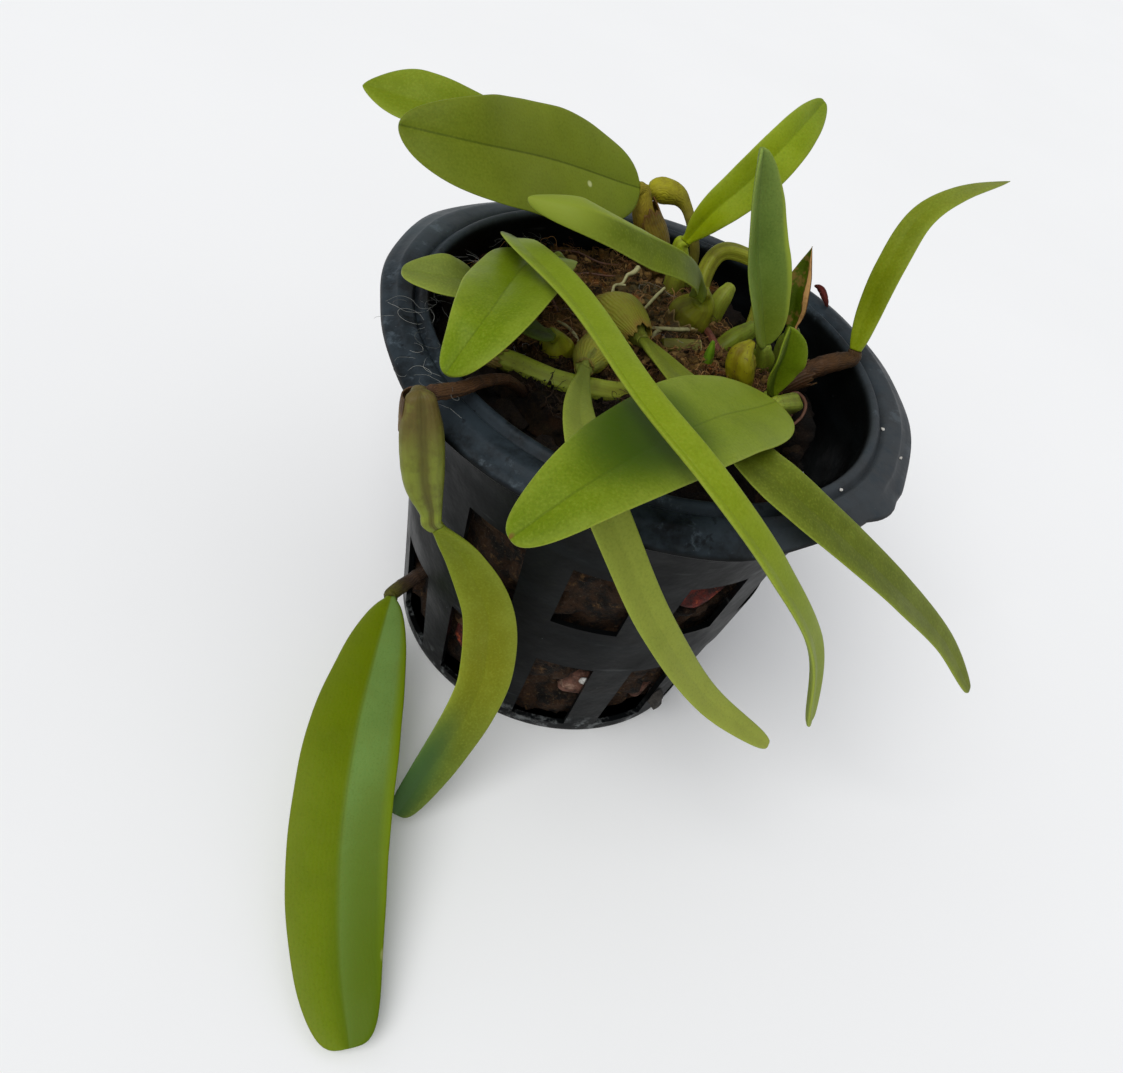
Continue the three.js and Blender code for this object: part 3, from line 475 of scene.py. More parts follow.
brightGreen = {"dark": "#4c5c08", "edge": "#95a33c", "under": "#76842c"}
growths = {
    "back_left": {
        "bulb": [[3, 49, 94, 1.6], [2, 51.5, 104, 1.6], [1, 54, 113, 1.5], [-3, 57, 120, 1.5],
                 [-7, 59.5, 124, 1.8], [-11, 60, 126, 3.2], [-16, 59, 126, 3.8]],
        "path": [[-21, 57, 125], [-45, 35, 134.5], [-70.5, 17, 142.5], [-96, 14, 142]],
        "face": [0.1, -0.5, 0.9], "width": 16.6, "widest": 0.84, "base": 1, "tip": 0.75, "fold": 10, "lean": 0.12,
        "look": {"greens": "#63730a #697908 #6b7b0a", "midrib": 0.05},
    },
    "back_large": {
        "bulb": [[-7, 51, 103, 2.8], [-13, 51, 114, 4], [-18, 49, 122, 3.3]],
        "path": [[-22, 47, 129], [-42, 22, 139], [-58, -3, 147], [-76, -12, 148]],
        "face": [0.1, -0.75, 0.65], "width": 30.5, "widest": 0.47, "base": 0.36, "tip": 0.5, "fold": 5, "lean": -0.07,
        "look": {"greens": "#707e1a #6e7a17 #5b6710", "dark": "#3f4b02", "edge": "#7c882c",
                 "under": "#6a761c", "midrib": 0.7, "marks": [("#b4ba7c", (0.264, -0.25), (0.014, 0.075))]},
    },
    "arched": {
        "bulb": [[4, 22, 103, 3.4], [6, 26, 108, 6], [8, 27.5, 113, 4.2]],
        "path": [[7, 25, 118], [1, 15, 130], [-11, -3, 140.5], [-25, -18, 148.5], [-40, -20, 147]],
        "face": [-0.25, -0.55, 0.8], "width": 18, "widest": 0.25, "base": 0.6, "tip": 0.5, "fold": -25, "stalk": 7.5,
        "look": {"greens": "#7a8a0c #7c8c18 #97a632", "midrib": 0.05,
                 # the colour of its other half is painted shade, on the lower face that turns away from the light
                 "otherHalf": "#4a5800", "otherShare": 0.85, "marks": [("#7d8b2c", (1.0, 0.0), (0.34, 1.8))]},
    },
    "right_back": {
        "bulb": [[-1, 44, 103, 3.2], [-2, 45, 112, 3]],
        "path": [[-3, 45, 121], [1, 44, 132], [7, 48, 142], [13, 54, 154], [19, 77, 161]],
        "face": [0.2, -0.9, 0.5], "width": 13.4, "widest": 0.45, "base": 0.55, "tip": 0.45, "fold": 15, "lean": 0.07,
        "look": {"greens": "#8f9f04 #7e900a #74861a"},
    },
    "upright": {
        "bulb": [[31, 21, 103, 2.8], [30, 19, 109, 3.2]],
        "path": [[28, 16, 115], [22, 13, 128], [15, 11, 142], [10, 9, 155], [6, 6, 168]],
        "face": [0.8, -0.6, 0], "width": 18, "widest": 0.4, "base": 0.36, "tip": 0.52, "fold": 38,
        "look": {"greens": "#748424 #637a30 #758c42", "dark": "#3a4e16", "edge": "#8c9e46",
                 "under": "#667832", "midrib": 0.3,
                 "marks": [("#8e9e36", (0.42, 1.0), (0.62, 0.24))]},
    },
    "brown_edge": {
        "bulb": [[37, 31, 101, 2.6], [36, 30, 110, 3]],
        "path": [[35, 29, 116], [32, 30, 125], [31, 32, 132], [30, 32, 139]],
        "face": [-0.3, -0.9, 0.2], "width": 9, "widest": 0.35, "base": 0.6, "tip": 1.1, "fold": 25,
        "look": {"greens": "#425400 #3a4c00 #3a4c00", "dark": "#2c3800", "edge": "#6c7c1c",
                 "under": "#5f7020", "dry": 0.7},
    },
    "far_right": {
        "bulb": [[36, 15, 103, 2.4], [41, 17, 109, 2.6], [47, 20, 114, 2.7]],
        "path": [[53, 25, 119], [51.5, 28, 129], [50.5, 29.5, 143], [52.5, 36, 155], [60, 44, 162], [73, 56, 166]],
        "face": [-0.5, -0.8, 0.2], "faceTip": [-0.4, -0.4, 0.8],
        "width": 8.6, "widest": 0.35, "base": 0.3, "tip": 0.8, "fold": 8, "crease": 0.2, "lean": 0.15,
        "look": {"greens": "#7a880a #6e7a0e #787f3a", "dark": "#46560a", "midrib": 0.05},
    },
    "boat": {
        "bulb": [[35, 8.5, 99, 2.2], [35.2, 6.5, 103, 2.4]],
        "path": [[34.6, 3.5, 108.8], [32.9, 2, 116.3], [32.2, 0.5, 123.5], [30.4, -1, 131.6]],
        "face": [0.6, -0.7, 0.3], "width": 14, "widest": 0.5, "base": 0.6, "tip": 0.6, "fold": 35,
        "look": {"greens": "#70840c #62770a #5f730a", "dark": "#334500", "edge": "#8a9c2c",
                 "under": "#5f7018", "otherHalf": "#304000", "otherShare": 0.9},
    },
    "rim_left": {
        "bulb": [[-38, -4, 102, 2.6], [-41, -5, 108, 2.6]],
        "path": [[-43, -7, 112], [-52, -21, 120], [-65, -25, 119]],
        "face": [0.1, -0.2, 1], "width": 14.6, "widest": 0.6, "base": 0.7, "tip": 0.5, "fold": 12,
        "look": {"greens": "#586520 #636f2a #6c7832", "midrib": 0.1},
    },
    "left_broad": {
        "bulb": [[-32, 25, 101.5, 2.8], [-33, 24, 107, 2.8]],
        "path": [[-35, 20, 112.6], [-38, -6, 123], [-37, -45, 130], [-40.5, -58, 119.5]],
        "face": [-0.2, -0.3, 1], "width": 24.5, "widest": 0.5, "base": 0.45, "tip": 0.45, "fold": 10, "lean": -0.1,
        # its darker base green is painted shade, under the long strap leaf that crosses above it
        "look": {"greens": "#4a5a00 #667a04 #627800", "dark": "#3c4c00", "midrib": 0.3},
    },
    "long_strap": {
        "bulb": [[-36, 33, 99, 2.6], [-41, 31, 104, 2.6]],
        "path": [[-44, 27, 108], [-45.5, 9, 119.5], [-40, -12, 130.3], [-20.5, -41, 138.6], [0.8, -75, 144.6],
                 [18.8, -88, 141.6], [38, -88, 127.4], [56.6, -79.3, 104], [68.8, -72.4, 75]],
        "face": [0, -0.1, 1], "faceTip": [0.15, -0.3, 0.9],
        "width": 12.4, "widest": 0.3, "base": 0.6, "tip": 0.2, "fold": 23, "crease": 0.3, "stalk": 7.5, "tuck": 0.82,
        "look": {"greens": "#697d0c #76880f #808e24", "dark": "#56660a", "midrib": 0.0},
    },
    "front_broad": {
        "bulb": [[41, 12, 101, 2.4], [41.2, 4.6, 107.5, 2.9]],
        "path": [[34.5, -11, 114.5], [27, -31, 123], [18.5, -51, 130.5], [7, -79, 137.5],
                 [-2, -98, 138], [-10.8, -108.5, 129]],
        "face": [0, -0.2, 1], "width": 26.2, "widest": 0.32, "base": 0.36, "tip": 0.4, "fold": 5, "lean": 0.04,
        "look": {"greens": "#7d8d26 #74861a #627602", "dark": "#3c4c00", "midrib": 0.3,
                 # the first mark is painted shadow, cast by the long strap leaf above it; the second is a brown nick
                 # at its tip
                 "marks": [("#384f00", (0.65, 0.3), (0.24, 1.5)), ("#6a5418", (1.0, 0.1), (0.014, 0.3))]},
    },
    "front_hanging": {
        "bulb": [[-15, 0, 102, 2.8], [-14, -12, 108.5, 4.2]],
        "path": [[-14, -25, 112], [-10, -54, 121], [-2, -75, 124], [8, -80, 114], [24, -78, 92],
                 [45, -70, 66], [69, -60, 46]],
        "face": [0.2, -0.6, 0.8], "width": 10, "widest": 0.4, "base": 0.6, "tip": 0.28, "fold": 18,
        "crease": 0.3, "lean": 0.08,
        "look": {"greens": "#727f2e #869034 #949c3e", "dark": "#566219", "midrib": 0.0},
    },
    "right_hanging": {
        "bulb": [[-14, 20, 103, 3], [-9, 8, 109, 4.8]],
        "path": [[-3, 0, 111], [12, -24, 118], [31, -48, 122], [44, -52, 119], [61, -49, 110],
                 [79, -43, 98], [99, -36, 83], [114, -36, 70]],
        "face": [0.3, -0.3, 1], "width": 14, "widest": 0.36, "base": 0.5, "tip": 0.34, "fold": 15, "crease": 0.3,
        "look": {"greens": "#68721a #566110 #666f28", "dark": "#3d4804", "midrib": 0.03},
    },
    "outside_bent": {
        "bulb": [[-42, -71, 121.5, 3.1], [-40.3, -71, 113, 4.5], [-37.4, -71.4, 101, 4.3], [-34, -71.2, 92, 2.5]],
        "path": [[-31.5, -71, 87], [-23, -67, 75], [-14, -66, 59], [-9.8, -68, 41], [-9.4, -74, 32],
                 [-11.6, -83, 22], [-17, -99, 7]],
        "face": [-0.1, -0.9, 0.4], "faceTip": [0.6, -0.6, 0.5],
        "width": 14.8, "widest": 0.5, "base": 0.5, "tip": 0.2, "fold": 10, "crease": 0.1, "lean": -0.08,
        # its darker bluish tip green and its mark are painted shade, where the tip curls under
        "look": {"greens": "#687312 #717510 #486024", "dark": "#505a08", "midrib": 0.06,
                 "marks": [("#3e5c2c", (1.0, 0.6), (0.38, 1.35))]},
    },
    "outside_large": {
        "bulb": [[-36, -24, 26, 2], [-41, -31, 23, 2.1]],
        "path": [[-45, -41, 20], [-40, -66, 22], [-34, -92, 22], [-25.3, -118, 15],
                 [-14.5, -140, 8], [-4, -156, 3.4]],
        "face": [-0.1, -0.2, 1], "width": 26, "widest": 0.55, "base": 0.5, "tip": 0.26, "fold": 10, "lean": 0.04,
        "look": {"greens": "#6a7c02 #667800 #667a00", "dark": "#445400", "edge": "#6c7424",
                 # the colour of its other half is a painted sky reflection
                 "under": "#6a781c", "otherHalf": "#678742", "otherShare": 0.9, "midrib": 0.2,
                 "marks": [("#506600", (1.0, -0.8), (0.62, 1.3)), ("#687c06", (0.35, -1.1), (0.75, 0.4)),
                           ("#82884a", (0.849, -1.0), (0.016, 0.08))]},
    },
    "small_dark": {
        "bulb": [[-20, -9, 102, 3.2], [-24, -12, 107, 4.4]],
        "path": [[-26, -16, 112], [-29, -23, 116], [-33, -27, 118]],
        "face": [0, -0.4, 1], "width": 8, "widest": 0.5, "base": 0.6, "tip": 0.6, "fold": 15,
        "look": {"greens": "#445408 #35430a #3c4c10", "dark": "#263408", "edge": "#5c6c26",
                 "under": "#5f702a"},
    },
}


def leafWidth(leaf, t):
    rising = np.sin(np.pi / 2 * np.minimum(t / leaf["widest"], 1)) ** leaf["base"]
    past = np.clip((t - leaf["widest"]) / (1 - leaf["widest"]), 0, 1)
    falling = np.maximum(np.cos(np.pi / 2 * past), 0) ** leaf["tip"]
    blade = leaf["width"] * np.where(t < leaf["widest"], rising, falling)
    stalk = np.where(t < 0.5, leaf.get("stalk", 3.6) * (1 - t), 0)
    return (blade ** 6 + stalk ** 6) ** (1 / 6)


def leafShell(leaf, seed):
    even = np.linspace(0, 1, leafForm["stations"])
    t = 0.45 * even + 0.55 * (1 - np.cos(np.pi * even)) / 2
    # closer stations round the tip
    t = np.concatenate([t[:-1], 1 - (1 - t[-2]) * np.array([0.6, 0.35, 0.18, 0.07, 0.02, 0])])
    middle, forward, _ = alongCurve(leaf["path"], t)
    first, last = [unit(np.array(leaf.get(key, leaf["face"]), float)) for key in ("face", "faceTip")]
    face = first + (last - first) * t[:, None]
    up = unit(face - forward * np.sum(face * forward, 1, keepdims=True))
    side = np.cross(forward, up)
    s = crossRow[None, :]
    stalk = np.maximum(0, 1 - t / leafForm["stalkShare"])[:, None]
    blade = 1 - stalk
    half = leafWidth(leaf, t) / 2
    half *= 1 + 0.005 * np.sin(t * 19 + seed) + 0.003 * np.sin(t * 43 + 2 * seed)
    half = np.maximum(half, leafForm["least"])[:, None] * (1 + leaf.get("lean", 0) * np.sign(s))
    # tuck is how much its left half is narrowed, for the part that is curled away under it, most in the middle of its
    # length
    tuck = leaf.get("tuck", 0) * np.sin(np.pi * np.clip((t - 0.1) / 0.85, 0, 1))[:, None]
    half = half * (1 - tuck * np.where(s > 0, 1, 0.12))
    # folded along its midrib, domed on both sides of it and waved at its edges
    fold, bend = math.radians(leaf["fold"]), leaf.get("crease", 0.015)
    lift = (np.sqrt(s ** 2 + bend) - math.sqrt(bend)) * half * math.sin(fold)
    lift = lift + leafForm["crown"] * half / 10 * np.sin(np.pi * np.abs(s)) * blade
    wave = np.where(s > 0, np.sin(t * 17 + seed)[:, None], np.sin(t * 15 + 2.4 * seed)[:, None])
    lift = lift + leafForm["wave"] * half * s ** 2 * wave * blade
    thick = leafForm["middle"] + (leafForm["stalk"] - leafForm["middle"]) * stalk
    thick = thick + (leafForm["edge"] - leafForm["middle"]) * s ** 2 * blade
    thick = thick * np.sqrt(np.maximum(1 - np.abs(s) ** (12 - 9 * stalk), 0)) * np.minimum(1, half / 1.6) ** 0.6
    near = s * half
    room = np.minimum(1, half / 4)
    groove = leafForm["groove"] * 2 * leaf["look"].get("midrib", 0.5) * np.exp(-(near / 0.8) ** 2)
    groove = groove * (1 - 0.6 * stalk) * room
    keel = leafForm["keel"] * np.exp(-(near / 0.9) ** 2) * blade * room
    flat = middle[:, None, :] + side[:, None, :] * (near * math.cos(fold))[..., None]
    upperSide = flat + up[:, None, :] * (lift + thick / 2 - groove)[..., None]
    underSide = flat + up[:, None, :] * (lift - thick / 2 - keel)[..., None]
    rings = np.concatenate([upperSide, underSide[:, -2:0:-1]], 1)
    order = np.concatenate([crossRow, crossRow[-2:0:-1]])
    rows, columns = rings.shape[:2]
    isUpper = np.concatenate([np.ones(len(crossRow)), np.zeros(len(crossRow) - 2)])
    values = {"along": np.repeat(t, columns), "across": np.tile(order, rows),
              "acrossMm": np.concatenate([near, near[:, -2:0:-1]], 1).ravel(), "upper": np.tile(isUpper, rows)}
    return rings.reshape(-1, 3), ringFaces(rows, columns), values


def pieceName(node, first=""):
    # leaf_back_left gives leafBackLeft, and with "waxy" before it waxyLeafBackLeft
    words = node.split("_")
    return (first or words[0]) + "".join(word.capitalize() for word in words[0 if first else 1:])


for number, (name, growth) in enumerate(growths.items()):
    node = "leaf_" + name
    skin = waxyLeaf(pieceName(node, "waxy"), growth["look"])
    makePiece(pieceName(node), leafShell(growth, number * 1.7), skin, [node])
print("leaves:", len(growths))


def tubeShell(rows, sides=28, steps=60, ridge=0.08, ridges=4, wrinkle=0.004, nodes=(), seed=0, domes=(0.3, 0.3)):
    # rows are x, y, z, radius. nodes are the places along it, 0 to 1, where a scale ring stands proud,
    # and domes are how far its two ends stand out
    u = np.linspace(0, 1, steps)
    middle, forward, length = alongCurve(rows, u)
    radius, middle = np.maximum(middle[:, 3], 0.2)[:, None], middle[:, :3]
    normals, binormals = sideFrames(forward)
    angle = np.linspace(0, 2 * np.pi, sides, endpoint=False)
    reach = 1 + ridge * np.cos(ridges * angle)[None, :]
    reach = reach + wrinkle * np.sin(angle[None, :] * 9 + 3 * np.sin(u * 11 + seed)[:, None])
    reach = reach + wrinkle * np.sin(u * length * 1.9 + seed)[:, None] * np.sin(angle * 3 + seed)[None, :]
    for at in nodes:
        reach = reach + 0.07 * np.exp(-((u - at) * length / 0.5) ** 2)[:, None]
    rings = (middle[:, None, :] + normals[:, None, :] * (radius * reach * np.cos(angle))[..., None]
             + binormals[:, None, :] * (radius * reach * np.sin(angle))[..., None])
    # rounded ends, of smaller and smaller rings
    turns = (0.45, 0.8, 1.1, 1.35)
    ends = [[middle[index] + (rings[index] - middle[index]) * math.cos(turn)
             + forward[index] * way * dome * math.sin(turn) for turn in turns]
            for index, way, dome in ((0, -1, domes[0]), (-1, 1, domes[1]))]
    rings = np.concatenate([ends[0][::-1], rings, ends[1]])
    count = len(rings)
    along = np.concatenate([np.zeros(len(turns)), u, np.ones(len(turns))])
    values = {"along": np.repeat(along, sides), "around": np.tile(angle, count),
              "furrow": np.tile(0.5 - 0.5 * np.cos(ridges * angle), count)}
    return rings.reshape(-1, 3), ringFaces(count, sides), values


def addTube(node, rows, look, skinName, seed, slot, **usual):
    form = {**usual, **{key: look[key] for key in ("ridge", "ridges", "wrinkle", "nodes", "domes") if key in look}}
    material = (scalyRhizome if "browns" in look else fleshyBulb)(skinName, look)
    makePiece(pieceName(node), tubeShell(rows, seed=seed, **form), material, [node])


def bulbRows(growth):
    # the bulb narrows to a neck that ends just short of its leaf
    start, forward, _ = alongCurve(growth["path"], [0.0])
    end = start[0] - forward[0] * 0.35
    return growth["bulb"] + [[*(end - forward[0] * 2.4), 2.2], [*end, 1.8]]


greenBulb = {"greens": "#56601a #6c7820 #7c8c28", "stain": "#4c3e18"}
bulbLooks = {
    "arched": {"greens": "#463f0e #70720e #828c1c", "stain": "#443410"},
    "right_back": {"greens": "#5a5a18 #7a8424 #8c9c1c", "stain": "#5a4a20"},
    "upright": {"greens": "#5c6a1e #74841e #7a8a2c", "stain": "#5a5a1c"},
    "brown_edge": {"greens": "#5c6a1e #6c7c24 #5c6c1c", "stain": "#5a4a20"},
    "boat": {"greens": "#6c7a24 #7c8c28 #728424", "stain": "#5a5a1c"},
    "rim_left": {"greens": "#4e5a18 #6c7820 #6c7a28", "stain": "#4c3e18"},
    "left_broad": {"greens": "#5e6a1a #7a861c #74861a", "stain": "#4c3e18"},
    "long_strap": {"greens": "#5e6a1a #7a861c #748420", "stain": "#4c3e18"},
    "front_broad": {"greens": "#66742a #7f8c30 #84922c", "stain": "#5a5a1c"},
    "front_hanging": {"greens": "#7a7a2c #8c8e38 #7c8834", "stain": "#6a5c28", "gloss": 0.5},
    "right_hanging": {"greens": "#6a6418 #7c7c1c #76802c", "stain": "#54400f", "gloss": 0.5},
    "outside_bent": {"greens": "#5c5024 #747c2a #78842c", "stain": "#4c4418", "spots": 0.2, "ridge": 0.2,
                     "ridges": 3, "furrows": 0.75, "domes": (1.8, 0.3)},
    "small_dark": {"greens": "#6e6e12 #858612 #7a8418", "stain": "#5c5010"},
}
rhizomeLooks = {
    "back_left": {"browns": "#62781c #6c6418 #a09a14", "stain": "#54400f", "fibre": "#8a8434",
                  "fibreShare": 0.1, "stainShare": 0.35, "nodes": (0.3, 0.62)},
    "back_large": {"browns": "#54400f #7c6614 #8c8018", "stain": "#4a3410", "fibre": "#8a6c2c",
                   "fibreShare": 0.12, "stainShare": 0.4, "nodes": (0.3, 0.9)},
    "far_right": {"browns": "#301c0c #402810 #3c280c", "stain": "#1e1206", "fibre": "#5c3c1c",
                  "fibreShare": 0.2, "nodes": (0.18, 0.36, 0.55, 0.74, 0.9)},
    "outside_large": {"browns": "#1c100a #2c1c10 #50500f", "stain": "#180e08", "fibre": "#503a22",
                      "nodes": (0.2, 0.45, 0.7)},
}
for number, (name, growth) in enumerate(growths.items()):
    node, rows = "bulb_" + name, bulbRows(growth)
    if name in rhizomeLooks:
        addTube(node, rows, rhizomeLooks[name], pieceName(node, "scaly"), number, "rhizome", ridge=0.04,
                wrinkle=0.008)
    else:
        addTube(node, rows, bulbLooks.get(name, greenBulb), pieceName(node, "waxy"), number, "pseudobulb",
                nodes=(0.93,))

stems = {
    "stem_pale_arch": {
        "rows": [[8, 38, 102, 2.2], [6, 46, 113, 2.4], [8, 50, 119, 2.4], [14, 52, 120, 2.3],
                 [21, 52, 118, 2.1], [25, 49, 108, 2], [26, 46, 100, 2]],
        "greens": "#767a1c #8a8e26 #8c922c", "stain": "#5c5414", "ridge": 0.12,
    },
    "stub_pale": {
        "rows": [[13, 33, 102, 1.9], [13, 34.6, 106, 2.5], [13, 36, 110, 2.8], [13.6, 37.2, 113, 2.6],
                 [14.2, 38.2, 115.2, 1.9]],
        "greens": "#666e18 #74801e #84902c", "stain": "#66601c", "domes": (0.3, 1.6),
    },
    "bulb_yellow_sheath": {
        "rows": [[27.5, 8.6, 102, 1.8], [26.6, 8, 106, 3.4], [24.8, 7.2, 110.6, 4.1], [23.6, 7.4, 114.4, 3.4],
                 [24.4, 9, 117.8, 1.2]],
        "greens": "#64520c #7e7a0c #8a8814", "stain": "#54380a", "slot": "pseudobulb", "spots": 0.8,
        "domes": (0.3, 0.7), "ridge": 0.16, "ridges": 3, "wrinkle": 0.02,
    },
    "bulb_long_green": {
        "rows": [[-39, -26, 106.5, 2.2], [-32, -25, 106, 3], [-20, -25, 106, 2.9], [-9, -22, 106, 3],
                 [-3, -17, 105, 2.6]],
        "greens": "#8c9830 #8c9a2e #868f30", "stain": "#6c6820", "ridge": 0.1,
    },
    "bulb_behind_upright": {
        "rows": [[17, 20, 104, 2.4], [21, 24, 108, 3.3], [25, 28, 112, 2.2]],
        "greens": "#5c6614 #6c7a1a #6c7c20", "stain": "#4c4814", "slot": "pseudobulb", "domes": (0.3, 1.0),
    },
    "shoot_young": {
        "rows": [[16, 11.5, 102, 1.4], [15.6, 11, 106, 1.5], [15.1, 10.6, 110, 1.1], [14.8, 10.4, 112.4, 0.6]],
        "greens": "#4e6c10 #5c8214 #6a9018", "stain": "#3e5c0c", "domes": (0.3, 0.8), "spots": 0.0,
    },
    "stub_cut": {
        "rows": [[2, 12, 105, 1.9], [6, 14, 105.2, 2.2], [12, 17, 105.5, 2.3]],
        "greens": "#54541a #66662a #727034", "stain": "#4c4418", "cut": "#b8ae78",
    },
}
for number, (name, stem) in enumerate(stems.items()):
    addTube(name, stem["rows"], stem, pieceName(name, "waxy"), number + 30, stem.get("slot", "green_stem"),
            ridge=0.05)
dryStems = {
    "stem_over_rim": {
        "rows": [[-41, -66, 119.6, 1.9], [-37, -58, 117.2, 1.8], [-34, -52, 116.6, 1.6], [-30, -41, 112, 1.4],
                 [-26, -31, 103, 1.4]],
        "browns": "#50361e #4c3018 #2e1c0c", "stain": "#2a1a0e", "fibre": "#704e2c", "fibreShare": 0.25,
        "ridge": 0.05, "wrinkle": 0.03, "nodes": (0.12, 0.3, 0.5, 0.7), "seed": 61, "slot": "rhizome",
        "skin": "scalyStemOverRim",
    },
    "bud_dried": {
        "rows": [[39, 57, 117, 0.35], [40.2, 57.2, 117, 0.8], [41.6, 57, 116.4, 1.05], [43, 56.4, 115.2, 0.95],
                 [44.2, 55.8, 114, 0.7], [44.9, 55.2, 113, 0.4]],
        "browns": "#4a1610 #5c1c14 #3c100c", "stain": "#280a08", "fibre": "#80382a",
        "ridge": 0.1, "ridges": 5, "wrinkle": 0.06, "seed": 71, "slot": "dried_bud", "skin": "paperyDriedBud",
    },
}
for name, stem in dryStems.items():
    addTube(name, stem["rows"], stem, stem["skin"], stem["seed"], stem["slot"])
print("bulbs and stems:", len(growths) + len(stems) + len(dryStems))

pot = {
    "height": 114, "foot": 50.6, "shoulder": 64.2, "flange": 75.3, "wall": 1.7, "floor": 2.6,
    "windows": 12, "firstWindow": -78.75, "windowTurn": 18.5, "windowRows": [(4, 37), (56, 80)],
    # the heights of the wall's rows, and how far each one stands out where it steps out in bands
    "levels": [2.6, 4, *range(7, 37, 3), 37, 40, 44, 48, 52, 56, 59, 62, 65, 68, 71, 74, 77, 80, 83, 86, 89,
               91.5, 93, 95, 96.5, 99, 101, 103],
    "bands": {91.5: 0.0, 93: 0.35, 95: 0.35, 96.5: 0.7, 99: 0.75, 101: 1.05, 103: 1.1},
    # the turned sections of the foot and of the flange: radius and height
    "footRows": [(44, 1.2), (44.9, 0.5), (45.2, 0), (47.8, 0), (50.4, 0), (50.65, 0.4)],
    "rimRows": [(65.6, 106.6), (66.6, 107.5), (68.5, 107.7), (71, 107.8), (73.3, 107.9), (74.7, 108.3), (75.3, 109),
                (75.25, 109.8), (74.8, 110.5), (73.2, 111.2), (71.6, 111.9), (71.1, 112.5), (70.6, 112.9),
                (69.6, 113), (68, 113), (66.6, 113), (66, 112.6), (65.4, 111.9), (65, 112.3), (64.5, 113),
                (63.9, 113.7), (63.2, 114), (62.5, 113.8), (62, 113.2), (61.7, 112.3), (61.6, 111.2), (61.5, 108),
                (61.3, 105)],
    "slots": 8, "slotWidth": 5, "slotInner": 18, "slotOuter": 40, "padRadius": 9, "under": 1.2,
    "floorReach": [0.4, 4, 9, 10.2, 14, 18, 22, 26, 29, 32, 36, 40, 43, 46, 49.3],
    # where the flange is bent out or in: heading, half width in degrees, millimetres
    "bends": [(86, 26, 3.8), (160, 20, 1.8), (-152, 16, -1.6), (-38, 20, -2.0), (-22, 8, 2.3), (45, 16, 1.4)],
    "softEdge": 0.28, "softAngle": 42,
    # the rubbed colour is partly painted highlight, and the second grey, for the back left, is painted highlight
    "look": {"black": "#050606", "worn": "#0a0c0d", "haze": "#14191b", "dust": "#2b343a", "rubbedAndHighlight": "#5c6870",
             "greyAndHighlight": ["#424547", "#5c6468"], "lime": "#7c8080", "dustShare": 0.9, "gloss": 0.34},
}


def wallInside(z):
    return pot["foot"] - pot["wall"] + (pot["shoulder"] - pot["foot"]) * z / pot["height"]


def flangePush(angle):
    push = np.zeros_like(angle)
    for middle, halfWidth, amount in pot["bends"]:
        away = (angle - middle + 180) % 360 - 180
        push = push + amount * np.exp(-(away / halfWidth) ** 2)
    return push


def openingColumns(count, first, half, perOpening, perRib):
    # angles of the columns in degrees, where each opening reaches half to both sides of its middle
    step = 360 / count
    angles = []
    for k in range(count):
        middle = first + step * k
        angles += list(np.linspace(middle - half, middle + half, perOpening, endpoint=False))
        angles += list(np.linspace(middle + half, middle + step - half, perRib, endpoint=False))
    return np.array(angles)


def piercedFaces(rows, columns, openings, perOpening, group):
    # faces of a closed ring of rows, left out where an opening is, and the openings' own sides. Each
    # opening is its rows on the one face, and on the other
    isOpen = {row for face, back in openings for row in face[:-1] + back[1:]}
    faces = []
    for i in range(rows):
        below = (i + 1) % rows
        for j in range(columns):
            if not (i in isOpen and j % group < perOpening):
                k = (j + 1) % columns
                faces.append([i * columns + j, i * columns + k, below * columns + k, below * columns + j])
    for face, back in openings:
        for start in range(0, columns, group):
            across = [(start + j) % columns for j in range(perOpening + 1)]
            sides = [((face[end], back[end]), pair) for end in (0, -1) for pair in zip(across, across[1:])]
            for (front, behind), (a, b) in sides:
                faces.append([front * columns + a, front * columns + b, behind * columns + b, behind * columns + a])
            for edge in (across[0], across[-1]):
                for front, above, behind, aboveBehind in zip(face, face[1:], back, back[1:]):
                    faces.append([row * columns + edge for row in (front, above, aboveBehind, behind)])
    return faces


def wallShell():
    perOpening, perRib = 10, 6
    levels, foot, rim = pot["levels"], pot["footRows"], pot["rimRows"]
    outer = [(wallInside(z) + pot["wall"] + pot["bands"].get(z, 0), z) for z in levels]
    inner = [(wallInside(z), z) for z in levels[::-1]]
    base = [(46.5, pot["floor"]), (44, pot["floor"])]
    profile = foot + outer + rim + inner + base
    lastInner = len(foot) + len(outer) + len(rim) + len(levels) - 1
    openings = []
    for low, high in pot["windowRows"]:
        inside = [k for k, z in enumerate(levels) if low <= z <= high]
        openings.append(([len(foot) + k for k in inside], [lastInner - k for k in inside]))
    halfTurn = math.tan(math.radians(pot["windowTurn"] / 2))
    widths = [wallInside((low + high) / 2) * halfTurn for low, high in pot["windowRows"]]
    between = [pot["windowRows"][0][1], pot["windowRows"][1][0]]
    points = []
    for r, z in profile:
        half = math.degrees(math.asin(np.interp(z, between, widths) / max(r, 20)))
        angle = openingColumns(pot["windows"], pot["firstWindow"], half, perOpening, perRib)
        turn = np.radians(angle)
        share = smooth(r, pot["shoulder"], pot["flange"])
        ragged = 0.35 * share * np.sin(turn * 11 + 1) * np.sin(turn * 5)
        dent = 0.25 * np.sin(turn * 3 + z * 0.03) * math.sin(z * 0.045)
        # two notches in the flange's edge
        torn = 0.9 * np.exp(-((angle + 30) % 360 / 3.0) ** 2)
        nicked = 0.7 * np.exp(-(((angle + 17.5 + 180) % 360 - 180) / 2.2) ** 2)
        reach = r + (flangePush(angle) - torn - nicked) * share + ragged + dent
        lift = 0.6 * share * np.sin(turn * 2 + 0.6) + 0.3 * share * np.sin(turn * 7)
        points.append(np.stack([reach * np.cos(turn), reach * np.sin(turn), z + lift - 0.3 * share], 1))
    faces = piercedFaces(len(profile), len(points[0]), openings, perOpening, perOpening + perRib)
    return np.vstack(points), faces, {}


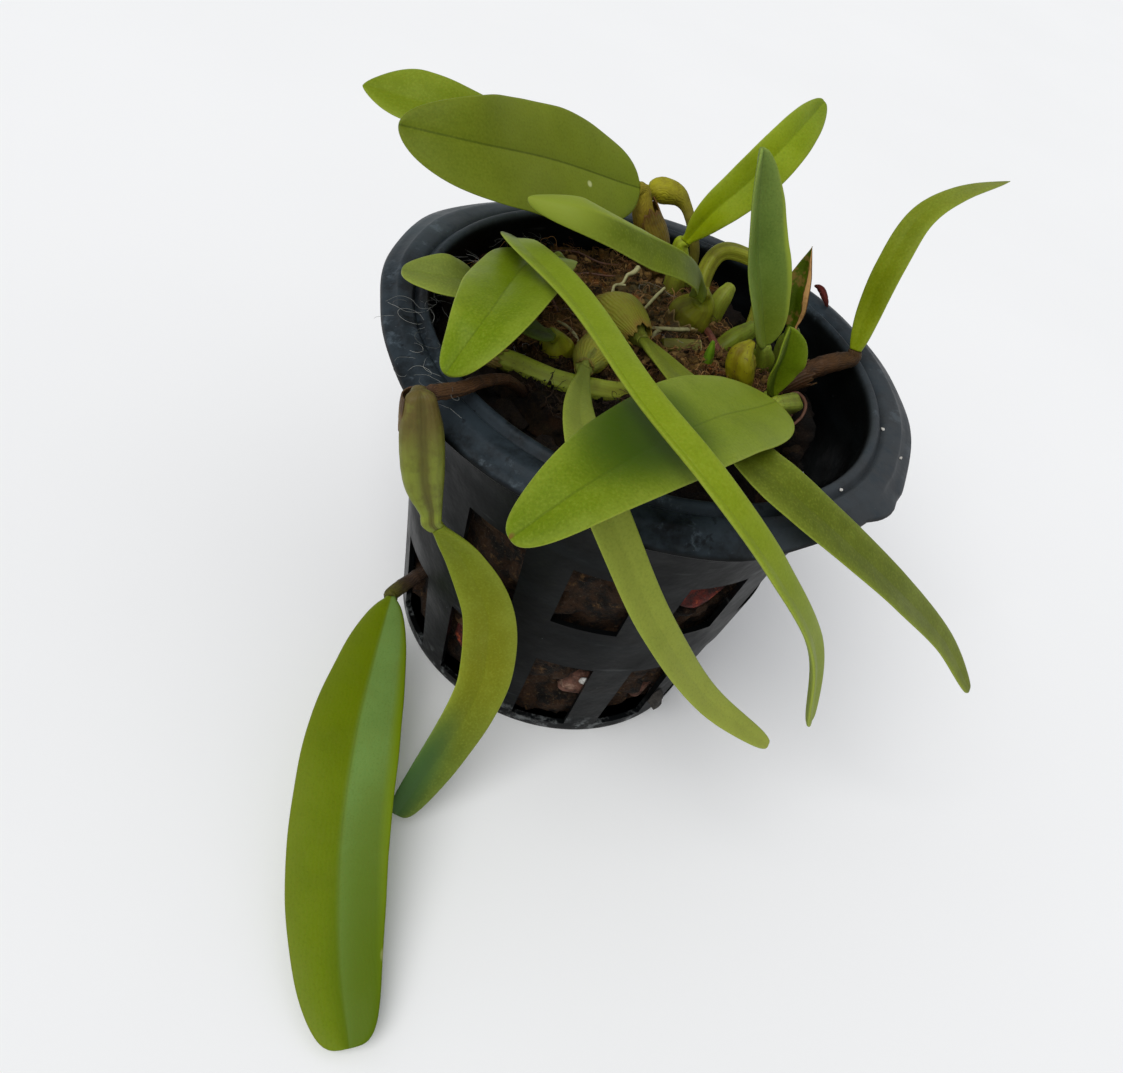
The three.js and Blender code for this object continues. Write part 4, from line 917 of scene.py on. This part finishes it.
def floorShell():
    # the floor plate with its drain slots, let a little way into the wall
    perOpening, perRib = 4, 8
    reach = pot["floorReach"]
    under = [(r, 0 if r <= pot["padRadius"] else pot["under"]) for r in reach[::-1]]
    profile = [(r, pot["floor"]) for r in reach] + under
    slots = [k for k, r in enumerate(reach) if pot["slotInner"] <= r <= pot["slotOuter"]]
    points = []
    for r, z in profile:
        half = math.degrees(math.asin(min(0.5, pot["slotWidth"] / 2 / max(r, 6))))
        angle = np.radians(openingColumns(pot["slots"], 0, half, perOpening, perRib))
        points.append(np.stack([r * np.cos(angle), r * np.sin(angle), np.full(len(angle), float(z))], 1))
    openings = [(slots, [2 * len(reach) - 1 - k for k in slots])]
    faces = piercedFaces(len(profile), len(points[0]), openings, perOpening, perOpening + perRib)
    return np.vstack(points), faces, {}


plastic = mouldedPolypropylene("mouldedBlackPolypropylene", pot["look"])
potPiece = makePiece("netPot", joinShells([wallShell(), floorShell()]), plastic, ["pot"])
edges = potPiece.modifiers.new("softEdges", "BEVEL")
edges.width = pot["softEdge"] * mm
edges.segments = 2
edges.limit_method = "ANGLE"
edges.angle_limit = math.radians(pot["softAngle"])
edges.harden_normals = True
print("pot:", len(potPiece.data.polygons), "faces")

filling = {
    "barkVoxel": 1.5, "coirVoxel": 0.8, "coirTone": 0.3, "coirRadius": 43, "coirTop": 105.6, "barkTop": 97,
    "emptyAngle": -18, "emptyHalf": 46, "emptyDepth": 17,
    "bedAngle": 126, "bedHalf": 62, "bedInner": 36, "bedReach": 60.2, "bedLow": 95.5, "bedHigh": 104,
    # how many of each, and their least and greatest sizes
    "chips": 150, "chipMm": [(8, 16), (4, 8), (5, 11)], "fibres": 1500, "fibreMm": (3, 11),
    "fibreRadius": (0.05, 0.12), "crumbs": 2600, "crumbMm": (0.3, 1.5), "flakes": 110,
    "flakeMm": [(2.5, 6), (1.4, 3), (0.6, 1.4)],
    "bark": {"wet": "#0a0603", "brown": "#33200f", "broken": "#63492a", "dust": "#5c5442"},
    "coir": {"dark": "#1e1408", "brown": "#6a5024", "red": "#8c5424", "tan": "#b08c54", "algae": "#5e5a3e",
             "algaePlace": (-5, 30, 107), "wet": "#0c0805"},
}


def remeshed(node, voxelMm):
    # the node's solid as an even fine mesh, in millimetres
    copy = addObject("work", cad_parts[node].data.copy())
    remesh = copy.modifiers.new("fine", "REMESH")
    remesh.mode = "VOXEL"
    remesh.voxel_size = voxelMm * mm
    bpy.context.view_layer.update()
    fine = copy.evaluated_get(bpy.context.evaluated_depsgraph_get())
    mesh = fine.to_mesh()
    points = np.array([v.co for v in mesh.vertices], float)
    faces = [list(face.vertices) for face in mesh.polygons]
    fine.to_mesh_clear()
    bpy.data.objects.remove(copy)
    return points / mm, faces


def held(points, reach, floor=None):
    # keeps points inside a reach from the middle, and above the pot's floor
    points[:, :2] *= np.minimum(1, reach / np.maximum(np.hypot(points[:, 0], points[:, 1]), 1))[:, None]
    if floor is not None:
        points[:, 2] = np.maximum(points[:, 2], pot["floor"] + floor)
    return points


def emptyShare(x, y):
    # 1 in the hollow at the right of the filling
    angle = np.degrees(np.arctan2(y, x))
    sideways = np.maximum(0, 1 - np.abs(angle - filling["emptyAngle"]) / filling["emptyHalf"])
    return smooth(sideways, 0, 0.45) * smooth(np.hypot(x, y), 37, 47)


def coirHeight(x, y):
    return filling["coirTop"] + 0.9 * np.sin(x * 0.31 + 1) * np.cos(y * 0.27) + 0.5 * np.sin(x * 0.7 - y * 0.6)


def coirEdge(angle):
    return (filling["coirRadius"] + 1.8 * np.sin(3 * angle + 1) + 1.5 * np.sin(7 * angle)
            - 6 * np.maximum(0, np.cos(angle - math.radians(filling["emptyAngle"])))) * 0.94


def ballShell(level):
    work = bmesh.new()
    bmesh.ops.create_icosphere(work, subdivisions=level, radius=1)
    points = np.array([v.co for v in work.verts])
    faces = [[v.index for v in face.verts] for face in work.faces]
    work.free()
    return points, faces


balls = {level: ballShell(level) for level in (1, 2, 3, 4)}


def chipShell(middle, size, turn, tilt=0.0, level=2, planes=5, tone=0.0, rough=0.06):
    # a broken chip: a boxy lump with flat breaks and a rough skin
    points, faces = balls[level]
    shape = np.sign(points) * np.abs(points) ** 0.55
    for _ in range(planes):
        direction = unit(chance.normal(size=3))
        over = shape @ direction - chance.uniform(0.62, 0.95)
        shape = shape - np.maximum(over, 0)[:, None] * direction
    shape = roughen(shape * np.array(size) / 2, max(size) / 3, rough * max(size), chance.integers(1000))
    spin = np.array(Matrix.Rotation(turn, 3, "Z") @ Matrix.Rotation(tilt, 3, "X"))
    return shape @ spin.T + np.array(middle), faces, {"tone": tone}


barkLook = compostedBark("compostedPineBark", filling["bark"])
barkPoints, barkFaces = remeshed("bark", filling["barkVoxel"])
barkPoints = roughen(barkPoints, 5.0, 1.5, 3)
barkPoints = held(barkPoints, wallInside(barkPoints[:, 2]) - 0.5, 0.1)
makePiece("barkMass", (barkPoints, barkFaces, {"tone": 0.0}), barkLook, ["bark"])

chips = []
for k in range(filling["chips"]):
    angle = chance.uniform(0, 2 * math.pi)
    size = [chance.uniform(*side) for side in filling["chipMm"]]
    if k % 3 == 0:
        # one in three lies on top, and the others against the wall
        radius = chance.uniform(44, 56)
        empty = float(emptyShare(radius * math.cos(angle), radius * math.sin(angle)))
        z = filling["barkTop"] + chance.uniform(-1, 2.5) - filling["emptyDepth"] * empty
        radius = min(radius, wallInside(z) - 7)
    else:
        z = chance.uniform(6, 92)
        radius = wallInside(z) - chance.uniform(4.2, 7)
    place = (radius * math.cos(angle), radius * math.sin(angle), z)
    points, faces, values = chipShell(place, size, angle + math.pi / 2 + chance.uniform(-0.4, 0.4),
                                      chance.uniform(-0.6, 0.6), tone=max(0, chance.normal(0.1, 0.3)))
    chips.append((held(points, wallInside(points[:, 2]) - 0.6, 0.2), faces, values))
makePiece("barkChips", joinShells(chips), barkLook)
print("bark:", len(barkFaces), "faces and", len(chips), "chips")

coirLook = mattedCoir("mattedCoconutCoir", filling["coir"])
coirPoints, coirFaces = remeshed("coir", filling["coirVoxel"])
coirPoints = roughen(roughen(coirPoints, 6.0, 1.5, 8, 2), 1.9, 0.75, 5, 2)
makePiece("coirLump", (coirPoints, coirFaces, {"tone": filling["coirTone"]}), coirLook, ["coir"])


def bedShare(x, y):
    # 1 at the back left, where the coir reaches the wall, and 0 where it stops short
    away = np.abs((np.degrees(np.arctan2(y, x)) - filling["bedAngle"] + 180) % 360 - 180)
    return smooth(away, filling["bedHalf"], filling["bedHalf"] - 16)


def fillEdge(angle):
    short = coirEdge(angle)
    return short + (filling["bedReach"] - short) * bedShare(np.cos(angle), np.sin(angle))


def fillHeight(x, y):
    # the coir's top, which sinks towards the wall
    reach = np.hypot(x, y)
    return coirHeight(x, y) - 1.6 * smooth(reach, 42, 60) - 0.8 * smooth(reach, 36, 44)


def bedShell():
    # the coir's outer part at the back left, from inside the lump to the wall
    turns, inner, low = np.linspace(-1, 1, 190), filling["bedInner"], filling["bedLow"]
    angle = np.radians(filling["bedAngle"] + filling["bedHalf"] * turns)
    share = np.linspace(0, 1, 44)[None, :]
    reach = inner + (fillEdge(angle)[:, None] - inner) * share
    x, y = reach * np.cos(angle)[:, None], reach * np.sin(angle)[:, None]
    ends = smooth(np.abs(turns), 1.0, 0.82)[:, None]
    top = np.stack([x, y, low + 0.6 + (fillHeight(x, y) - low - 0.6) * ends * smooth(share, 1.02, 0.95)], -1)
    fine = roughen(roughen(top.reshape(-1, 3), 5.0, 1.4, 12, 2), 1.9, 0.8, 6, 2)
    top = held(fine, wallInside(filling["bedHigh"]) - 0.5).reshape(top.shape)
    under = np.stack([x, y, np.full(x.shape, low)], -1)
    rings = np.concatenate([top, under[:, ::-1]], 1)
    return rings.reshape(-1, 3), ringFaces(*rings.shape[:2]), {"tone": filling["coirTone"]}


makePiece("coirBed", bedShell(), coirLook)


def strandShell(paths, radii, sides=3):
    # many strands at once: paths is strands x points x 3
    paths = np.asarray(paths, float)
    strands, steps = paths.shape[:2]
    forward = unit(np.gradient(paths, axis=1))
    normal = unit(np.cross(forward, unit(chance.normal(size=(strands, 1, 3)))))
    binormal = np.cross(forward, normal)
    angle = np.linspace(0, 2 * np.pi, sides, endpoint=False)[None, None, :, None]
    taper = 0.55 + 0.45 * np.sin(np.pi * np.linspace(0.08, 0.92, steps))
    radius = np.asarray(radii)[:, None, None, None] * taper[None, :, None, None]
    across = normal[:, :, None, :] * np.cos(angle) + binormal[:, :, None, :] * np.sin(angle)
    rings = paths[:, :, None, :] + radius * across
    one = ringFaces(steps, sides)
    faces = [[v + start for v in face] for start in range(0, strands * steps * sides, steps * sides) for face in one]
    tone = np.repeat(np.clip(chance.normal(0.45, 0.3, strands), 0, 1), steps * sides)
    return rings.reshape(-1, 3), faces, {"tone": tone}


def scatteredStrands(count, steps, lengthRange, arch, curl):
    # strands that lie on the filling, bending as they go
    angle = chance.uniform(0, 2 * np.pi, count)
    reach = fillEdge(angle) * np.sqrt(chance.uniform(0, 1.04, count))
    x, y = reach * np.cos(angle), reach * np.sin(angle)
    heading = chance.uniform(0, 2 * np.pi, count)
    bend = chance.normal(0, curl, count)
    step = chance.uniform(*lengthRange, count) / steps
    rise = arch * chance.uniform(0, 1, count) ** 2
    paths = np.zeros((count, steps, 3))
    for k in range(steps):
        share = k / (steps - 1)
        paths[:, k, 0], paths[:, k, 1] = x, y
        paths[:, k, 2] = fillHeight(x, y) + 0.3 + rise * np.sin(np.pi * share) + chance.normal(0, 0.25, count)
        heading = heading + bend + chance.normal(0, 0.3, count)
        x, y = x + step * np.cos(heading), y + step * np.sin(heading)
        outside = np.maximum(np.hypot(x, y) / fillEdge(np.arctan2(y, x)), 1)
        x, y = x / outside, y / outside
    return paths


fibreLook = {"dark": "#442612", "light": "#b0824c", "mottle": "#2a180c", "wet": "#1a110a", "roughness": 0.8}
fibrePaths = scatteredStrands(filling["fibres"], 10, filling["fibreMm"], 3.0, 0.45)
fibreShell = strandShell(fibrePaths, chance.uniform(*filling["fibreRadius"], len(fibrePaths)))
makePiece("coirFibres", fibreShell, dryStrand("combedCoirFibre", fibreLook), outward=False)


def fillPlace():
    angle = chance.uniform(0, 2 * math.pi)
    reach = float(fillEdge(angle)) * math.sqrt(chance.uniform(0, 0.97))
    x, y = reach * math.cos(angle), reach * math.sin(angle)
    return x, y, float(fillHeight(x, y)), angle


crumbs = []
for k in range(filling["crumbs"]):
    x, y, z, angle = fillPlace()
    size = chance.uniform(*filling["crumbMm"], 3) * (0.8 + 1.6 * chance.uniform() ** 4)
    crumbs.append(chipShell((x, y, z + chance.uniform(0.1, 0.9)), size, angle, planes=2, level=1,
                            tone=float(np.clip(chance.normal(0.33, 0.25), 0, 1)), rough=0.22))
for k in range(filling["flakes"]):
    x, y, z, angle = fillPlace()
    size = [chance.uniform(*side) for side in filling["flakeMm"]]
    crumbs.append(chipShell((x, y, z + 0.5), size, angle, chance.normal(0, 0.35), planes=3,
                            tone=float(np.clip(chance.normal(0.35, 0.3), 0, 1)), rough=0.07))
makePiece("coirCrumbs", joinShells(crumbs), coirLook)
print("coir:", len(coirFaces), "faces,", len(fibrePaths), "fibres and", len(crumbs), "crumbs")

brick = firedBrick("brokenFiredBrick", {"stained": "#2c0c06", "clay": "#66180a", "fresh": "#b85022"})
husk = firedBrick("driedCoconutHusk", {"stained": "#4c3226", "clay": "#7a5242", "fresh": "#9c7c68"})
looseChips = {
    "chip_brick_right": {"at": [37, -37.4, 68], "size": [15, 5.4, 8], "turn": 45, "look": brick,
                         "slot": "brick_chip"},
    "chip_brick_left": {"at": [-17.6, -42.3, 20], "size": [11.5, 5.4, 12.4], "turn": -22, "look": brick,
                        "slot": "brick_chip"},
    "chip_pale": {"at": [15.5, -44, 22], "size": [9.7, 5.4, 10.6], "turn": 19, "look": husk, "slot": "husk_chip"},
    "chip_pale_right": {"at": [37, -26.2, 12], "size": [10.6, 5.4, 10.6], "turn": 55, "look": husk,
                        "slot": "husk_chip"},
}
for name, chip in looseChips.items():
    shell = chipShell(chip["at"], chip["size"], math.radians(chip["turn"]), level=4, planes=6, rough=0.035)
    makePiece(pieceName(name), shell, chip["look"], [name])
print("loose chips:", len(looseChips))


def sheathShell(sheath, seed):
    # a torn sheath round a stem: its rows are x, y, z, radius, and the middle of its wrap looks to face
    steps, columns = 34, 40
    fine = np.linspace(0, 1, 101)
    middle, forward, length = alongCurve(sheath["rows"], fine)
    face = np.array(sheath["face"], float)
    normals = unit(face - forward * (forward @ face)[:, None])
    binormals = np.cross(forward, normals)
    even = np.linspace(0, 1, steps)
    angle = np.radians(sheath["wrap"] * np.linspace(-0.5, 0.5, columns))
    ragged = 0.5 + 0.3 * np.sin(angle * 4.3 + seed) + 0.2 * np.sin(angle * 13 + 2 * seed)
    share = even[:, None] * (1 - sheath["torn"] * ragged)[None, :]
    share = share + (sheath.get("tornStart", 0) * ragged)[None, :] * (1 - even[:, None])
    read = [np.interp(share, fine, column) for column in np.hstack([middle, normals, binormals]).T]
    centre, radius = np.stack(read[:3], -1), read[3]
    outward = (np.stack(read[4:7], -1) * np.cos(angle)[None, :, None]
               + np.stack(read[7:], -1) * np.sin(angle)[None, :, None])
    opened = radius * (1 + sheath["flare"] * share ** 3
                       + 0.02 * np.sin(share * length * 0.9 + seed) * np.sin(angle * 2.2)[None, :])
    ribs = 0.015 * np.sin(angle[None, :] * 2 * np.pi * radius.mean() / 0.8)
    outside = centre + outward * (opened + 0.2 + ribs)[..., None]
    inside = centre + outward * (opened - 0.15 + ribs)[..., None]
    rings = np.concatenate([outside, inside[:, ::-1]], 1)
    faces = ringFaces(steps, 2 * columns, capped=False)
    for row in (0, (steps - 1) * 2 * columns):
        for j in range(columns - 1):
            faces.append([row + j, row + j + 1, row + 2 * columns - 2 - j, row + 2 * columns - 1 - j])
    turn = np.concatenate([angle, angle[::-1]])
    values = {"along": np.repeat(even, 2 * columns), "acrossMm": np.tile(turn * radius.mean(), steps)}
    return rings.reshape(-1, 3), faces, values


sheaths = {
    "sheathRightHanging": {
        "rows": [[-17, 17.5, 105.5, 4.6], [-12.5, 10, 109.6, 6.3], [-9.5, 6.5, 111.3, 5.7], [-6, 3, 111.6, 4.1],
                 [-3.6, 0.8, 111.4, 3.1]],
        "face": [0.2, -0.3, 1], "wrap": 290, "torn": 0.1, "tornStart": 0.2, "flare": 0.06,
        "look": {"root": "#766c14", "body": "#8e8e28", "scale": "#7c6620", "scaleShare": 0.3, "rib": "#a4a24c",
                 "torn": "#84682c"},
    },
    "sheathFrontHanging": {
        "rows": [[-12.8, -2.2, 109.6, 3.8], [-14.2, -12.5, 109.3, 4.8], [-14.5, -18, 110.1, 3.3],
                 [-14.4, -21.5, 110.9, 2.4], [-14.2, -24.4, 111.8, 2.2]],
        "face": [0, -0.2, 1], "wrap": 320, "torn": 0.08, "tornStart": 0.22, "flare": 0.03,
        "look": {"root": "#746c1c", "body": "#8f8f2e", "scale": "#7c6a2c", "scaleShare": 0.3, "rib": "#a4a248",
                 "torn": "#6c5c28"},
    },
    "sheathLongGreen": {
        "rows": [[-34, -25.3, 106.1, 3.2], [-38, -25.9, 106.6, 2.9], [-43.5, -27, 107.4, 2.4]],
        "face": [0, -0.5, 1], "wrap": 210, "torn": 0.45, "tornStart": 0.3, "flare": 0.12,
        "look": {"root": "#7c6c30", "body": "#a08850", "scale": "#3c2614", "scaleShare": 0.7, "rib": "#c0aa74",
                 "torn": "#2e1c10"},
    },
    "sheathBackLarge": {
        "rows": [[-8.4, 51, 105, 3.9], [-12.8, 51.2, 113.6, 5.3], [-16.6, 50, 119.6, 4.7], [-19.6, 48.6, 124.6, 3.8]],
        "face": [0.75, 0.5, 0.3], "wrap": 235, "torn": 0.18, "flare": 0.16,
        "look": {"root": "#4c3812", "body": "#72601a", "scale": "#3c2810", "scaleShare": 0.5, "rib": "#8c7830",
                 "torn": "#5a3c18"},
    },
    "sheathArched": {
        "rows": [[2.4, 19, 101.5, 4.2], [4.3, 22.6, 104.2, 5.0], [5.6, 25.2, 107, 6.3]],
        "face": [-0.6, -0.6, 0.4], "wrap": 200, "torn": 0.42, "flare": 0.05,
        "look": {"root": "#2e200c", "body": "#46360f", "scale": "#221608", "scaleShare": 0.6, "rib": "#5c4a1c",
                 "torn": "#8c7a4c"},
    },
    "sheathReddish": {
        "rows": [[10, 28.5, 106.2, 0.7], [13.2, 23.8, 107.2, 0.9], [17.2, 18.6, 106.4, 0.9], [20.6, 15.4, 105, 0.6]],
        "face": [0.1, -0.5, 0.9], "wrap": 190, "torn": 0.2, "flare": 0.1,
        "look": {"root": "#4c2a1a", "body": "#64392a", "scale": "#3c1e12", "scaleShare": 0.6, "rib": "#7c4c38",
                 "torn": "#4c2c1c"},
    },
    "sheathFarRight": {
        "rows": [[36, 14.6, 102.6, 2.8], [40.6, 16.6, 108.2, 3.2], [44.6, 18.6, 111.6, 3.2]],
        "face": [-0.2, -0.6, 0.8], "wrap": 250, "torn": 0.3, "flare": 0.12,
        "look": {"root": "#28180a", "body": "#3c2610", "scale": "#20140a", "scaleShare": 0.6, "rib": "#543a1e",
                 "torn": "#4c341a"},
    },
    "sheathOutsideBent": {
        "rows": [[-42.4, -70.8, 121.8, 3.5], [-41.4, -71, 117.5, 4.3], [-40.5, -71, 114, 4.8]],
        "face": [-0.7, 0.2, 0.7], "wrap": 150, "torn": 0.6, "flare": 0.0,
        "look": {"root": "#4c3820", "body": "#66522c", "scale": "#38281a", "scaleShare": 0.7, "rib": "#806a40",
                 "torn": "#46321c"},
    },
}
for number, (name, sheath) in enumerate(sheaths.items()):
    skin = paperySheath("driedLeaf" + name[0].upper() + name[1:], sheath["look"])
    makePiece(name, sheathShell(sheath, number * 1.3 + 0.4), skin)
print("sheaths:", len(sheaths))

# roots that lie on the coir: x, y, z, radius
roots = {
    "paleRoots": {
        "dark": "#7c7a48", "light": "#b0ac7c", "mottle": "#5c5834", "roughness": 0.55,
        "runs": [
            [[-20, 19, 105.6, 0.35], [-18.6, 20.8, 107, 0.38], [-17, 23.4, 107.5, 0.5], [-17.3, 26.2, 108.6, 0.42],
             [-15.5, 29.6, 108.5, 0.4], [-15.2, 33.2, 109.5, 0.5], [-13.9, 36, 109.5, 0.7],
             [-13.2, 38.8, 110.2, 0.8]],
            [[-16.6, 27.6, 108.6, 0.35], [-14.6, 28.6, 108.8, 0.3]],
            [[-7, 24, 105.6, 0.4], [-6.1, 26.1, 107, 0.45], [-5, 30, 108.3, 0.5], [-3.6, 36.1, 108.6, 0.4]],
            [[-4.4, 15.4, 105.8, 0.5], [0.4, 15.8, 107.6, 0.55], [5.4, 17.8, 108.4, 0.6], [8.8, 21.6, 107.8, 0.55]],
            [[-1.5, 11.6, 104.8, 0.45], [-0.9, 14.2, 106.8, 0.55], [0.2, 16.6, 106.4, 0.45]],
            [[-27, 1.5, 105.8, 0.4], [-24, -1, 107, 0.45], [-21, -3.6, 107.2, 0.45], [-18.6, -5.6, 106, 0.4]],
        ],
    },
    "brownRoots": {
        "dark": "#4c3020", "light": "#6f4c3a", "mottle": "#301c12", "roughness": 0.5,
        "runs": [
            [[38.6, 9.4, 103, 0.4], [40.2, 11.4, 105, 0.45], [42.7, 14.1, 105.6, 0.5], [45.6, 10.6, 105.6, 0.48],
             [45.4, 4.8, 104.5, 0.45], [42.8, -1.1, 103.4, 0.4], [42, -4.4, 101.4, 0.35]],
            [[39, 13, 103.4, 0.5], [41.6, 10.6, 104.6, 0.55], [42.6, 5.4, 103.8, 0.5], [41, 0.4, 101.6, 0.45]],
            [[-31, 27, 105.2, 0.25], [-27, 31, 106.2, 0.3], [-21, 34, 106.4, 0.28], [-15, 41, 105.2, 0.2]],
            [[-40, 39, 104.4, 0.2], [-33, 42, 105.6, 0.28], [-25, 41, 105.8, 0.28], [-20, 46, 104.6, 0.2]],
            [[-45, 20, 104.4, 0.4], [-39, 14, 106, 0.45], [-33, 12, 106.6, 0.4], [-28, 6, 105, 0.35]],
        ],
    },
}
for name, root in roots.items():
    shells = []
    for number, run in enumerate(root["runs"]):
        points, faces, values = tubeShell(run, sides=10, steps=40, ridge=0.05, wrinkle=0.06, seed=number + 90)
        shells.append((points, faces, {"tone": 0.3 + 0.5 * values["along"]}))
    makePiece(name, joinShells(shells), dryStrand("dried" + name[0].upper() + name[1:], root))
print("roots:", sum(len(root["runs"]) for root in roots.values()))

# dried root hairs and web: x, y, z of the middle, how far they spread, how many, and how long each is
hairTangles = [
    (-54.4, -28, 114.4, 5.5, 16, 12), (-60, -31, 114.2, 5, 8, 10), (-55.1, 5.4, 112.4, 5, 14, 10),
    (-46.3, -59.8, 117.6, 5, 12, 11), (-46.3, 39.1, 107, 5, 14, 9), (-55.6, 23.3, 108, 5, 6, 9),
    (-42, 37, 107, 4, 8, 7), (-52, -8, 112.6, 4, 8, 8), (-49, -48, 114.4, 5, 8, 9), (-30, -22, 108, 4, 6, 7),
    (-4, 32, 108, 7, 10, 7), (2, 13, 107.4, 5, 8, 6), (40, 6, 105, 4, 5, 6), (-37, -64, 120, 3, 6, 8),
    (-24, 6, 107.6, 6, 8, 7), (14, 33, 107, 5, 6, 6),
]
hairCurls = [
    [(-65.3, -32.1, 113.9), (-63.8, -29.3, 114.5), (-62, -28.4, 114.8), (-59.9, -28.8, 115), (-58.3, -29.8, 114.8),
     (-56.9, -30, 114.4), (-55.2, -28.9, 114.6), (-54.4, -26.8, 114.6)],
    [(-57.5 + 3.3 * math.cos(a), -35.3 + 2.6 * math.sin(a), 114.3 + 0.8 * math.sin(a / 2))
     for a in np.linspace(0.4, 6.2, 12)],
    [(-50.5 + 3.2 * math.cos(a), -41.9 + 2.6 * math.sin(a), 114.3 + 0.9 * math.sin(a / 2))
     for a in np.linspace(2.2, 8.2, 12)],
]
# real ones are near 0.05 mm thick, and these are 0.09 mm, so that they show
hairForm = {"steps": 25, "share": 0.4, "radius": 0.045}


def hairPaths():
    steps = hairForm["steps"]
    paths = [curveAt(curl, np.linspace(0, 1, steps + 1)) for curl in hairCurls]
    for x, y, z, spread, count, length in hairTangles:
        for _ in range(round(count * hairForm["share"])):
            way, lean = chance.uniform(0, 2 * np.pi), chance.normal(0, 0.3)
            bend = chance.choice([-1, 1]) * chance.uniform(0.02, 0.17)
            step = length * chance.uniform(0.5, 1.2) / steps
            place = np.array([x, y, z]) + chance.normal(0, 0.4, 3) * np.array([spread, spread, 0.6])
            path = [place]
            for _ in range(steps):
                way, lean = way + bend + chance.normal(0, 0.12), lean * 0.94 + chance.normal(0, 0.1)
                place = place + step * np.array([math.cos(way), math.sin(way), 0.6 * math.sin(lean)])
                path.append(place)
            paths.append(np.array(path))
    return np.array(paths)


hairs = hairPaths()
hairLook = dryStrand("driedRootHair", {"dark": "#585a56", "light": "#9c9e98", "mottle": "#50504a", "roughness": 0.7})
makePiece("rootHairs", strandShell(hairs, np.full(len(hairs), hairForm["radius"])), hairLook, outward=False)

mudLook = compostedBark("cakedGreyMud", {"wet": "#2a2826", "brown": "#47433f", "broken": "#625e58",
                                         "dust": "#706c66"})
mud = chipShell((41.9, -31.5, 12.5), (5.4, 3.6, 9), math.radians(-37), planes=3, level=3, tone=0.3, rough=0.09)
makePiece("driedMud", mud, mudLook)
# one white grain that fell between the bark and the wall
perlite = firedBrick("expandedPerlite", {"stained": "#b8b4aa", "clay": "#e6e4de", "fresh": "#f6f5f2"})
makePiece("perliteGrain", chipShell((18.3, -46.8, 25.6), (3.2, 2, 4.4), 0.4, 0.5, planes=4, level=3, rough=0.05),
          perlite)
flecks = [chipShell(place, (1.1, 0.9, 0.6), 0.7 * k, planes=3, rough=0.05)
          for k, place in enumerate([(65.7, 1.6, 112.5), (71.4, -7.3, 111.9), (55.7, -32.8, 113.2)])]
makePiece("perliteFlecks", joinShells(flecks), perlite)
print("hairs:", len(hairs))
